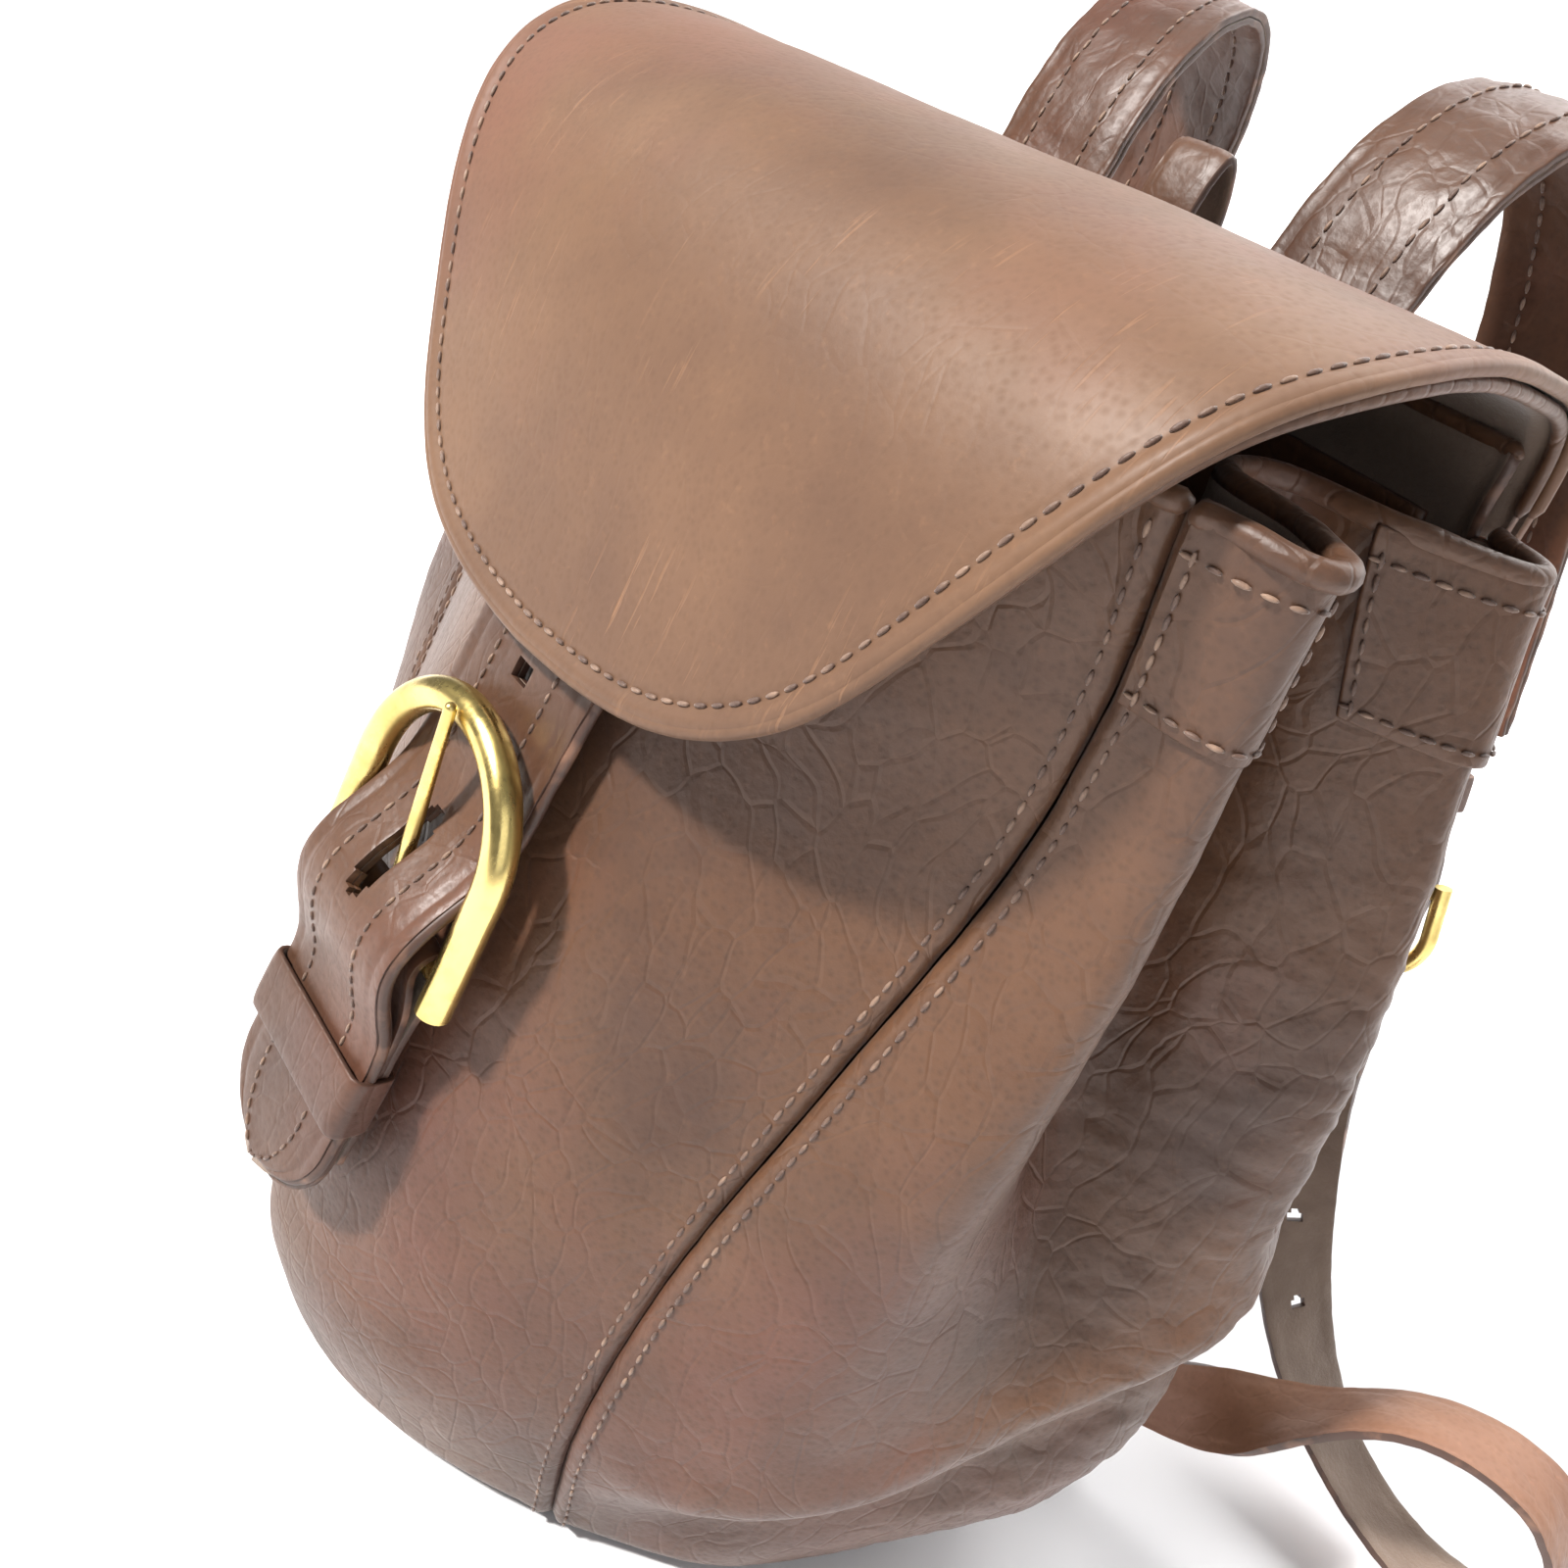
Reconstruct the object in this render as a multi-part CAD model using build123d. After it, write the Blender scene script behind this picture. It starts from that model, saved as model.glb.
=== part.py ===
from build123d import *
import math
import os

os.makedirs("parts", exist_ok=True)

# A leather flap backpack, in millimetres. +Z is up and the front faces -Y.
# The origin is the middle of the underside of the base.

# Driving dimensions
LEATHER = 2.0            # body panels
THIN = 1.5               # linings, facings and each layer of a strap
GAP = 0.25               # between neighbouring pieces
BASE_THICK = 3.0
MOUTH_Z = 262.0          # top edge of the front and the gussets
BACK_TOP_Z = 276.0
HEM_HEIGHT = 30.0        # stitched band round the mouth
FLAP_HALF = 100.0
FLAP_NOSE_Z = 191.0
HEM_GAP = 0.8            # the facings and hem bands lie a little loose
STRAP_WIDTH = 38.0       # closure strap
CLOSURE_TILT = 16.0      # the front leans back by this many degrees
CLOSURE_BAR = (-93.2, 132.0)   # y and z of the closure strap's resting plane at its buckle bar
SHOULDER_WIDTH = 32.0
LOWER_WIDTH = 20.0
YOKE_HEIGHT = 64.0
LOOP_WIDTH = 14.0        # hanging loop between the shoulder straps

# The body as level curves, from the base up.  Each row: z, front middle y,
# front seam x y, fold ridge x y, pleat valley x y, side bulge x y, back seam x y, back middle y.
LEVELS = (
    (3.2, -99, 70, -70, 93, -50, 107, -15, 110, 20, 92, 54, 60),
    (45, -109, 72, -75, 102, -54, 125, -12, 133, 24, 108, 61, 67),
    (95, -101.5, 74, -68, 106, -47, 121, -10, 138, 22, 110, 57, 64),
    (145, -87, 79, -54, 107, -39, 103, -9, 134, 20, 108, 51, 57),
    (195, -72, 84, -40, 106, -32, 91, -9, 126, 20, 104, 43, 49),
    (230, -64, 87, -41, 106, -36, 87, -11, 118, 19, 100, 36, 42),
    (262, -62, 89, -49, 107, -42, 85, -14, 111, 18, 96, 29, 36),
    (276, -62, 89, -49, 107, -42, 85, -14, 111, 18, 96, 27, 33),
)


def save(part, name):
    """Write one sub-part as its own STEP file."""
    part.label = name
    export_step(part, f"parts/{name}.step")


def level(z):
    """The level curve's numbers at any height, smoothly between the rows."""
    k = max(i for i, row in enumerate(LEVELS[:-1]) if row[0] <= z)
    low, high = LEVELS[k], LEVELS[k + 1]
    before = LEVELS[max(k - 1, 0)]
    after = LEVELS[min(k + 2, len(LEVELS) - 1)]
    span = high[0] - low[0]
    t = (z - low[0]) / span
    values = []
    for p0, p1, p2, p3 in list(zip(before, low, high, after))[1:]:
        m1 = (p2 - p0) / (high[0] - before[0]) * span
        m2 = (p3 - p1) / (after[0] - low[0]) * span
        a = (2 * t ** 3 - 3 * t ** 2 + 1) * p1 + (t ** 3 - 2 * t ** 2 + t) * m1
        values.append(a + (3 * t ** 2 - 2 * t ** 3) * p2 + (t ** 3 - t ** 2) * m2)
    return values


def front_points(z):
    """Five points across the front, from seam to seam."""
    front, seam_x, seam_y = level(z)[:3]
    shoulder = seam_y + 0.72 * (front - seam_y)
    half = 0.52 * seam_x
    return [(-seam_x, seam_y), (-half, shoulder), (0, front), (half, shoulder), (seam_x, seam_y)]


def side_points(z):
    """Points round the right gusset, from the front seam to the back seam."""
    seam_x, seam_y, ridge_x, ridge_y, valley_x, valley_y, side_x, side_y, back_x, back_y = level(z)[1:11]
    return [(seam_x, seam_y), (ridge_x, ridge_y), (valley_x, valley_y), (side_x, side_y), (back_x, back_y)]


def back_points(z):
    """Five points across the back, from right to left."""
    back_x, back_y, middle = level(z)[9:12]
    half = 0.55 * back_x
    flat = back_y + 0.8 * (middle - back_y)
    return [(back_x, back_y), (half, flat), (0, middle), (-half, flat), (-back_x, back_y)]


def ribbon(points, z, near, far, start=0.0, stop=1.0, count=17):
    """A flat face between two offsets of the curve through the points, outward positive."""
    curve = Spline(*[(x, y, 0) for x, y in points])
    rows = []
    for offset in (near, far):
        row = []
        for i in range(count):
            s = start + (stop - start) * i / (count - 1)
            p = curve.position_at(s)
            t = curve.tangent_at(s)
            row.append(Vector(p.X + t.Y * offset, p.Y - t.X * offset, z))
        rows.append(row)
    edges = [Spline(*rows[0]), Line(rows[0][-1], rows[1][-1])]
    edges += [Spline(*reversed(rows[1])), Line(rows[1][0], rows[0][0])]
    return make_face(edges)


def shell(points_at, heights, near, far, start=0.0, stop=1.0):
    """A curved panel: ribbons stacked at the given heights."""
    return loft([ribbon(points_at(z), z, near, far, start, stop) for z in heights])


def both_sides(part, name):
    """Write a right-hand piece and its mirror image."""
    save(part, name + "_right")
    save(mirror(part, about=Plane.YZ), name + "_left")


# ---------------------------------------------------------------- body panels
seam_trim = 0.004        # share of a panel's width kept clear at each seam
hem_heights = [MOUTH_Z - HEM_HEIGHT, MOUTH_Z - HEM_HEIGHT / 2, MOUTH_Z]
wall_heights = [BASE_THICK + GAP, 32, 64, 96, 128, 160, 192, 214] + hem_heights
front_panel = shell(front_points, wall_heights, -LEATHER, 0, seam_trim, 1 - seam_trim)
save(front_panel, "front_panel")
back_panel = shell(back_points, wall_heights + [BACK_TOP_Z], -LEATHER, 0, seam_trim, 1 - seam_trim)
save(back_panel, "back_panel")
gusset = shell(side_points, wall_heights, -LEATHER, 0, seam_trim, 1 - seam_trim)
both_sides(gusset, "gusset")

ridge_share = 0.2        # the hem band runs from the seam to the fold ridge
hem_band = shell(side_points, hem_heights, HEM_GAP, HEM_GAP + THIN, 0.02, ridge_share)
both_sides(hem_band, "hem_band")
rear_hem = shell(side_points, hem_heights, HEM_GAP, HEM_GAP + THIN, 0.62, 0.95)
both_sides(rear_hem, "rear_hem")
facing_near = -LEATHER - HEM_GAP
front_facing = shell(front_points, hem_heights, facing_near - THIN, facing_near, 0.05, 0.95)
save(front_facing, "front_facing")
back_facing = shell(back_points, hem_heights, facing_near - THIN, facing_near, 0.05, 0.95)
save(back_facing, "back_facing")

foot = LEVELS[0][0]
outline = [Spline(*[(x, y, 0) for x, y in front_points(foot)])]
right_side = [(x, y, 0) for x, y in side_points(foot)]
outline.append(Spline(*right_side))
outline.append(Spline(*[(x, y, 0) for x, y in back_points(foot)]))
outline.append(Spline(*[(-x, y, z) for x, y, z in reversed(right_side)]))
base_panel = extrude(make_face(outline), BASE_THICK)
save(base_panel, "base_panel")


# ----------------------------------------------------------------------- flap
def offset_strip(curve, near, far, count=25):
    """A flat face in the YZ plane between two offsets of a curve, positive to its left."""
    rows = []
    for offset in (near, far):
        row = []
        for i in range(count):
            p = curve.position_at(i / (count - 1))
            t = curve.tangent_at(i / (count - 1))
            row.append(Vector(0, p.Y + t.Z * offset, p.Z - t.Y * offset))
        rows.append(row)
    edges = [Spline(*rows[0]), Line(rows[0][-1], rows[1][-1])]
    edges += [Spline(*reversed(rows[1])), Line(rows[1][0], rows[0][0])]
    return make_face(edges)


def sheet(points, near, far, half_width):
    """A sheet that bends along the points and runs straight across."""
    curve = Spline(*[(0, y, z) for y, z in points])
    return extrude(offset_strip(curve, near, far), amount=half_width, dir=(1, 0, 0), both=True)


def tongue(inset):
    """The flap's outline seen from the front, as a block to cut the sheet with."""
    half = [(25, 192.5), (46, 199), (62, 213), (75, 235), (84, 256), (91, 272), (FLAP_HALF, 284)]
    right = [(x - inset, 0, z + inset) for x, z in half]
    left = [(-x, 0, z) for x, _, z in reversed(right)]
    edge = Spline(*(left + [(0, 0, FLAP_NOSE_Z + inset)] + right))
    top = MOUTH_Z + 60
    wide = FLAP_HALF - inset
    side_z = right[-1][2]
    closing = Polyline((wide, 0, side_z), (wide, 0, top), (-wide, 0, top), (-wide, 0, side_z))
    return extrude(make_face([edge, closing]), amount=150, both=True)


flap_line = [(29.5, 282.5), (12, 288.5), (-12, 291), (-36, 288), (-57, 277), (-69.5, 258)]
flap_line += [(-76.3, 232), (-81, 208), (-85.4, 190)]
flap_outer = sheet(flap_line, -1.6, 0, FLAP_HALF) & tongue(0)
save(flap_outer, "flap_outer")
flap_lining = sheet(flap_line, -1.6 - GAP - THIN, -1.6 - GAP, FLAP_HALF) & tongue(1.0)
save(flap_lining, "flap_lining")


# ------------------------------------------------------------- buckle fittings
class Fitting:
    """A horseshoe buckle in its own frame: X across, Y along the strap, Z outward.

    Its chape is folded round the bar and lies below it, with the strap's tail on top.
    """

    back_run = 1.5       # room under the chape for the keeper's back run

    def __init__(self, half, bar_radius, wire, layer, strap, reach, chape_length):
        self.half = half
        self.bar_radius = bar_radius
        self.wire = wire
        self.layer = layer
        self.strap = strap
        self.reach = reach
        self.chape_length = chape_length
        self.leg = half + 1.5 + wire / 2
        self.bar_n = self.back_run + layer + bar_radius + 0.3
        self.eye = bar_radius + 0.3 + layer
        self.chape_top = self.back_run + 2 * layer + 0.2
        self.curve_n = 0.8 + strap + 1.4 + wire / 2
        self.bar_place = Pos(0, 0, self.bar_n)

    def round_end(self, tip, top):
        """A block with a rounded lower end, to cut a strap's tip with."""
        block = Pos(0, (tip + self.half + top) / 2, 0) * Box(2 * self.half, top - tip - self.half, 80)
        return block + Pos(0, tip + self.half, 0) * Cylinder(self.half, 80)

    def across(self, radius, length):
        """A round rod across the strap, on the bar's line."""
        return self.bar_place * Rot(0, 90, 0) * Cylinder(radius, length)

    def chape(self, slot):
        """A leather strip folded round the bar, both layers laid together below it."""
        end = -self.chape_length
        wedge = Polyline((0, 0, self.back_run), (0, end, self.back_run), (0, end, self.chape_top),
                         (0, -3.6 * self.eye, self.chape_top), (0, 0, self.bar_n + self.eye), close=True)
        body = extrude(make_face(wedge), amount=self.half, dir=(1, 0, 0), both=True)
        strip = (body + self.across(self.eye, 2 * self.half)) & self.round_end(end, 20)
        cut = self.bar_place * Box(slot, 3.4 * self.eye, 4 * self.eye)
        return strip - self.across(self.bar_radius + 0.1, 2 * self.half + 2) - cut

    def frame(self):
        """A round rod bent to a horseshoe, its two flat ends just past the bar."""
        side = self.reach - self.leg
        tail = 1.1 * self.wire - 1.5
        path = Wire([
            Line((self.leg, -tail, 0), (self.leg, side, 0)),
            ThreePointArc((self.leg, side, 0), (0, self.reach, 0), (-self.leg, side, 0)),
            Line((-self.leg, side, 0), (-self.leg, -tail, 0)),
        ])
        section = Plane(origin=(self.leg, -tail, 0), z_dir=(0, 1, 0)) * Circle(self.wire / 2)
        lift = math.degrees(math.atan2(self.curve_n - self.bar_n, self.reach))
        rod = self.bar_place * Rot(lift, 0, 0) * sweep(section, path=path)
        return rod - self.across(self.bar_radius + 0.02, 2 * self.leg + self.wire / 2)

    def bar(self):
        """The pin that crosses the horseshoe's two ends."""
        return self.across(self.bar_radius, 2 * self.leg + self.wire / 2 - 0.2)

    def prong(self, thick):
        """A tapered pin with an eye round the bar, its tip on the horseshoe's curve."""
        rise = self.curve_n + self.wire / 2 + thick * 0.5 - self.bar_n
        length = math.hypot(self.reach, rise)
        ring = Cylinder(self.bar_radius + 0.45 * thick, thick) - Cylinder(self.bar_radius + 0.06, 2 * thick)
        start = self.bar_radius + 0.3 * thick
        shaft = Cone(thick / 2, thick * 0.36, length - start)
        pin = Pos(0, (length + start) / 2, 0) * Rot(-90, 0, 0) * shaft
        tip = Pos(0, length, 0) * Sphere(thick * 0.36)
        tilt = Rot(math.degrees(math.atan2(rise, self.reach)), 0, 0)
        return self.bar_place * tilt * (Rot(0, 90, 0) * ring + pin + tip)

    def keeper(self, centre, width):
        """A closed leather band round the chape and the strap that lies on it."""
        floor = 0.1
        wall = self.back_run - GAP - floor
        top = self.chape_top + 0.5 + self.strap + 0.6 + wall
        middle = Pos(0, centre, (floor + top) / 2)
        side = self.half + 0.4
        outer = middle * Box(2 * (side + wall), width, top - floor)
        inner = middle * Box(2 * side, width + 2, top - floor - 2 * wall)
        return fillet(outer.edges().filter_by(Axis.Y), 1.0) - inner

    def strap_line(self, tail):
        """The strap's inner face: on the chape, over the bar, then down on the other side."""
        low = self.chape_top + 0.5
        high = self.bar_n + self.eye + 0.6
        step = self.eye
        line = [(tail, low), (0.7 * tail, low), (-6.5 * step, low), (-4.4 * step, low + 0.1)]
        line += [(-2.1 * step, low + 0.62 * (high - low)), (0, high), (2.3 * step, low + 1.0)]
        line += [(5.2 * step, 1.3), (7.5 * step, 0.8), (10 * step, 0.8)]
        return line


def along_plane(origin, across, along):
    """A fitting's frame at a point, with its X and Y directions."""
    x_dir = Vector(*across).normalized()
    return Plane(origin=origin, x_dir=x_dir, z_dir=x_dir.cross(Vector(*along)).normalized())


tilt = math.radians(CLOSURE_TILT)
closure = along_plane((0, *CLOSURE_BAR), (1, 0, 0), (0, math.sin(tilt), math.cos(tilt)))
buckle = Fitting(STRAP_WIDTH / 2, 2.0, 7.0, 1.6, 2 * THIN + 0.05, 44.0, 66.0)
strap_tip = -64.0
strap_head = 88.0
strap_cut = buckle.round_end(strap_tip, strap_head)
prong_hole = Pos(0, 12, 6) * Box(5.2, 18, 30)
spare_hole = Pos(0, 54, 2) * Cylinder(2.4, 12)
strap_route = buckle.strap_line(strap_tip) + [(55, 0.8), (72, 0.8), (strap_head, 0.8)]
strap_lining = (sheet(strap_route, -THIN, 0, buckle.half) & strap_cut) - prong_hole - spare_hole
save(closure * strap_lining, "closure_strap_lining")
strap_outer = (sheet(strap_route, -2 * THIN - 0.05, -THIN - 0.05, buckle.half) & strap_cut) - prong_hole - spare_hole
save(closure * strap_outer, "closure_strap_outer")
save(closure * buckle.chape(6.0), "closure_chape")
save(closure * buckle.frame(), "buckle_frame")
save(closure * buckle.bar(), "buckle_bar")
save(closure * buckle.prong(3.4), "buckle_prong")
save(closure * buckle.keeper(-34, 14), "closure_keeper")

# ---------------------------------------------------------- yoke and loop
yoke_heights = [MOUTH_Z + 10 - YOKE_HEIGHT, 224] + hem_heights + [MOUTH_Z + 10]
yoke = shell(back_points, yoke_heights, HEM_GAP, HEM_GAP + THIN, 0.2, 0.8)
save(yoke, "back_yoke")
loop_line = [(46.5, 228), (44.6, 246), (43.6, 268), (44, 290), (49, 299), (54, 290), (53.5, 268), (51, 250)]
save(sheet(loop_line, -0.9, 0.9, LOOP_WIDTH / 2), "hanging_loop")

# ------------------------------------------------------------ shoulder straps
# Each row: a point on the strap's middle line, then the direction across its width.
BASE_ROUTE = (
    ((38, 46.6, 232), (1, 0, 0)), ((38, 46.4, 244), (1, 0, 0)), ((38, 46.8, 256), (1, 0, 0)),
)
UPPER_ROUTE = (
    ((38, 47, 258), (1, 0, 0)), ((38.5, 49, 275), (1, 0, 0)), ((39.5, 55, 297), (1, 0, 0)),
    ((42, 70, 318), (1, 0, 0)), ((46, 91, 325), (1, 0, 0)), ((51, 108, 310), (1, 0, 0.1)),
    ((58, 116, 280), (1, 0, 0.18)), ((67, 118, 245), (1, 0, 0.25)), ((77, 118, 208), (1, 0, 0.27)),
)
LOWER_ROUTE = (
    ((103, 115.5, 112), (1, 0, 0.35)), ((114, 116, 82), (0.8, 0.5, 0.3)), ((134, 118, 48), (0.4, 0.9, 0.2)),
    ((162, 120, 23), (0.1, 1, 0)), ((190, 118, 18), (0, 1, 0)), ((210, 110, 34), (0, 1, 0)),
    ((211, 102, 60), (0, 1, 0)), ((196, 94, 80), (0, 1, 0)), ((174, 88, 78), (0, 1, 0)),
    ((155, 83, 58), (0, 0.9, 0.3)), ((138, 77, 40), (0, 0.5, 0.8)), ((119.6, 68.9, 30.6), (0, 0, 1)),
)
TAB_ROUTE = (((118, 68.1, 30), (0, 0, 1)), ((114, 66.3, 29), (0, 0, 1)), ((110, 64.6, 28.5), (0, 0, 1)))


def between(rows, i, t):
    """A point on the smooth curve through the rows, past row i by the share t."""
    last = len(rows) - 1
    p0, p1, p2, p3 = rows[max(i - 1, 0)], rows[i], rows[min(i + 1, last)], rows[min(i + 2, last)]
    bend = (p0 * 2 - p1 * 5 + p2 * 4 - p3) * t ** 2 + (p1 * 3 - p0 - p2 * 3 + p3) * t ** 3
    return (p1 * 2 + (p2 - p0) * t + bend) * 0.5


def band(route, width, near, far, parts=3):
    """A strap through space: flat sections stacked along its middle line."""
    points = [Vector(*point) for point, _ in route]
    sides = [Vector(*side) for _, side in route]
    stops = [(i, k / parts) for i in range(len(route) - 1) for k in range(parts)] + [(len(route) - 1, 0)]
    fine = [between(points, i, t) for i, t in stops]
    sections = []
    for k, (i, t) in enumerate(stops):
        along = (fine[min(k + 1, len(fine) - 1)] - fine[max(k - 1, 0)]).normalized()
        side = between(sides, i, t)
        across = (side - along * side.dot(along)).normalized()
        place = Plane(origin=fine[k], x_dir=across, z_dir=along)
        sections.append(place * Pos(0, (near + far) / 2, 0) * Rectangle(width, far - near))
    return loft(sections, ruled=True)


both_sides(band(BASE_ROUTE, SHOULDER_WIDTH, -1.6, 1.6), "strap_base")
both_sides(band(UPPER_ROUTE, SHOULDER_WIDTH, -1.9, -0.1), "shoulder_strap_outer")
both_sides(band(UPPER_ROUTE, SHOULDER_WIDTH, 0.1, 1.6), "shoulder_strap_lining")

end_point, end_across = UPPER_ROUTE[-1]
end_along = (Vector(*end_point) - Vector(*UPPER_ROUTE[-2][0])).normalized()
adjuster = Fitting(LOWER_WIDTH / 2, 1.25, 4.0, 1.2, 2.0, 24.0, 44.0)
middle_n = (adjuster.back_run + adjuster.chape_top) / 2
side_dir = (Vector(*end_across) - end_along * Vector(*end_across).dot(end_along)).normalized()
outward = side_dir.cross(end_along)
origin = Vector(*end_point) + end_along * (adjuster.chape_length + 0.4) - outward * middle_n
place = along_plane(origin, side_dir, end_along)
square_chape = adjuster.chape(4.0) + Pos(0, 5 - adjuster.chape_length, middle_n) * Box(
    LOWER_WIDTH, 10, adjuster.chape_top - adjuster.back_run)
both_sides(place * square_chape, "adjuster_chape")
both_sides(place * adjuster.frame(), "adjuster_frame")
both_sides(place * adjuster.bar(), "adjuster_bar")
both_sides(place * adjuster.prong(2.4), "adjuster_prong")
both_sides(place * adjuster.keeper(-26, 9), "adjuster_keeper")

tail_route = []
for u, n in adjuster.strap_line(-40.0):
    tail_route.append((tuple(place.from_local_coords((0, u, n + 1.0))), tuple(side_dir)))
lower_strap = band(tuple(tail_route) + LOWER_ROUTE, LOWER_WIDTH, -1.0, 1.0)
lower_strap -= place * Pos(0, 7, 6) * Box(3.8, 12, 30)
both_sides(lower_strap, "lower_strap")
both_sides(band(TAB_ROUTE, LOWER_WIDTH + 6, -2.8, 2.8), "strap_tab")
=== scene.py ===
# %% [markdown]
# # A leather flap backpack
# The bag is sewn from a few supple leather panels: a front, a back, two gussets that fold
# inwards at the mouth, and a flap held by a strap and a brass buckle.  Each cell below makes
# one piece.  Outlines and routes repeat the CAD's driving numbers in millimetres, and the
# pieces are made in metres in the frame's own coordinates.

# %% Load the frame
import math
import bmesh
import bpy
import numpy as np
from mathutils import Matrix, Vector, noise


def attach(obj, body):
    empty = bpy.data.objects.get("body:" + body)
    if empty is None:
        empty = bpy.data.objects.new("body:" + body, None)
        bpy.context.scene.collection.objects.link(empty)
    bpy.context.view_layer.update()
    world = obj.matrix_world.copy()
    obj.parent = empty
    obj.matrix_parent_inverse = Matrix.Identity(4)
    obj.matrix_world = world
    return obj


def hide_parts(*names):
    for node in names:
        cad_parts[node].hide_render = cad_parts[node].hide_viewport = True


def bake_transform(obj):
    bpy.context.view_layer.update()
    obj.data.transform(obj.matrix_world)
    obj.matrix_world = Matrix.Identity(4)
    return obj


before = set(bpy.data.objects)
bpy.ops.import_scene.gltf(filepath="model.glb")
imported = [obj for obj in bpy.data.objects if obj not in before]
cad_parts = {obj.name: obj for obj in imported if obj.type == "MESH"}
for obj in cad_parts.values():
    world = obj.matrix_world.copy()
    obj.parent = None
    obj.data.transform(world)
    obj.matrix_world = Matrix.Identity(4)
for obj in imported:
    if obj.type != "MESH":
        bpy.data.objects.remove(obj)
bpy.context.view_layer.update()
MM = 0.001

# %% [markdown]
# ## Words for shader maths
# A material is a graph of nodes.  Writing it as sums and products is easier to read, so a
# small class wraps a socket: adding two of them makes a Math node.

# %% Shader maths
class Value:
    """A socket that can be added, subtracted and multiplied like a number."""

    def __init__(self, shade, socket):
        self.shade = shade
        self.socket = socket

    def math(self, operation, *others):
        return self.shade.node("ShaderNodeMath", {"operation": operation}, self, *others)

    def __add__(self, other):
        return self.math("ADD", other)

    def __mul__(self, other):
        return self.math("MULTIPLY", other)

    def __sub__(self, other):
        return self.math("SUBTRACT", other)

    def __rsub__(self, other):
        return self.shade.node("ShaderNodeMath", {"operation": "SUBTRACT"}, other, self)

    __radd__ = __add__
    __rmul__ = __mul__


class Shade:
    """A new material's node tree and its Principled shader."""

    def __init__(self, name):
        self.material = bpy.data.materials.new(name)
        self.material.use_nodes = True
        self.tree = self.material.node_tree
        self.shader = self.tree.nodes["Principled BSDF"]
        self.place = Value(self, self.tree.nodes.new("ShaderNodeTexCoord").outputs["Object"])

    def node(self, kind, settings, *sockets, out=0, **named):
        made = self.tree.nodes.new(kind)
        for key, value in settings.items():
            setattr(made, key, value)
        pairs = list(zip(made.inputs, sockets))
        pairs += [(made.inputs[key.replace("_", " ")], value) for key, value in named.items()]
        for socket, value in pairs:
            if isinstance(value, Value):
                self.tree.links.new(value.socket, socket)
            elif value is not None:
                socket.default_value = value
        return Value(self, made.outputs[out])

    def noise(self, scale, detail=3.0, rough=0.5, stretch=None):
        where = self.place if stretch is None else self.stretched(stretch)
        return self.node("ShaderNodeTexNoise", {}, Vector=where, Scale=scale, Detail=detail, Roughness=rough)

    def stretched(self, scale, turn=(0, 0, 0)):
        return self.node("ShaderNodeMapping", {}, Vector=self.place, Scale=scale, Rotation=turn)

    def cells(self, scale, feature="F1", where=None):
        settings = {"feature": feature}
        return self.node("ShaderNodeTexVoronoi", settings, Vector=where or self.place, Scale=scale)

    def ramp(self, value, *stops):
        made = self.tree.nodes.new("ShaderNodeValToRGB")
        marks = made.color_ramp.elements
        while len(marks) < len(stops):
            marks.new(0.5)
        for mark, (at, grey) in zip(marks, stops):
            mark.position = at
            mark.color = (grey, grey, grey, 1)
        self.tree.links.new(value.socket, made.inputs[0])
        return Value(self, made.outputs[0])

    def mix(self, factor, low, high):
        made = self.tree.nodes.new("ShaderNodeMix")
        made.data_type = "RGBA"
        for socket, value in zip((made.inputs[0], made.inputs[6], made.inputs[7]), (factor, low, high)):
            if isinstance(value, Value):
                self.tree.links.new(value.socket, socket)
            else:
                socket.default_value = value if isinstance(value, float) else (*value, 1)
        return Value(self, made.outputs[2])

    def bump(self, height, distance, strength=1.0):
        return self.node("ShaderNodeBump", {}, Height=height, Distance=distance, Strength=strength)

    def set(self, **inputs):
        for key, value in inputs.items():
            socket = self.shader.inputs[key.replace("_", " ")]
            if isinstance(value, Value):
                self.tree.links.new(value.socket, socket)
            else:
                socket.default_value = value
        return self.material


# %% [markdown]
# ## Leathers
# Tanned hide has a pebbled grain about a millimetre across, fine creases where it flexes,
# patches that took the dye differently, and pale scuffs on what sticks out.  One recipe makes
# every leather here, with its own colours and its own depth of grain.

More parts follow.
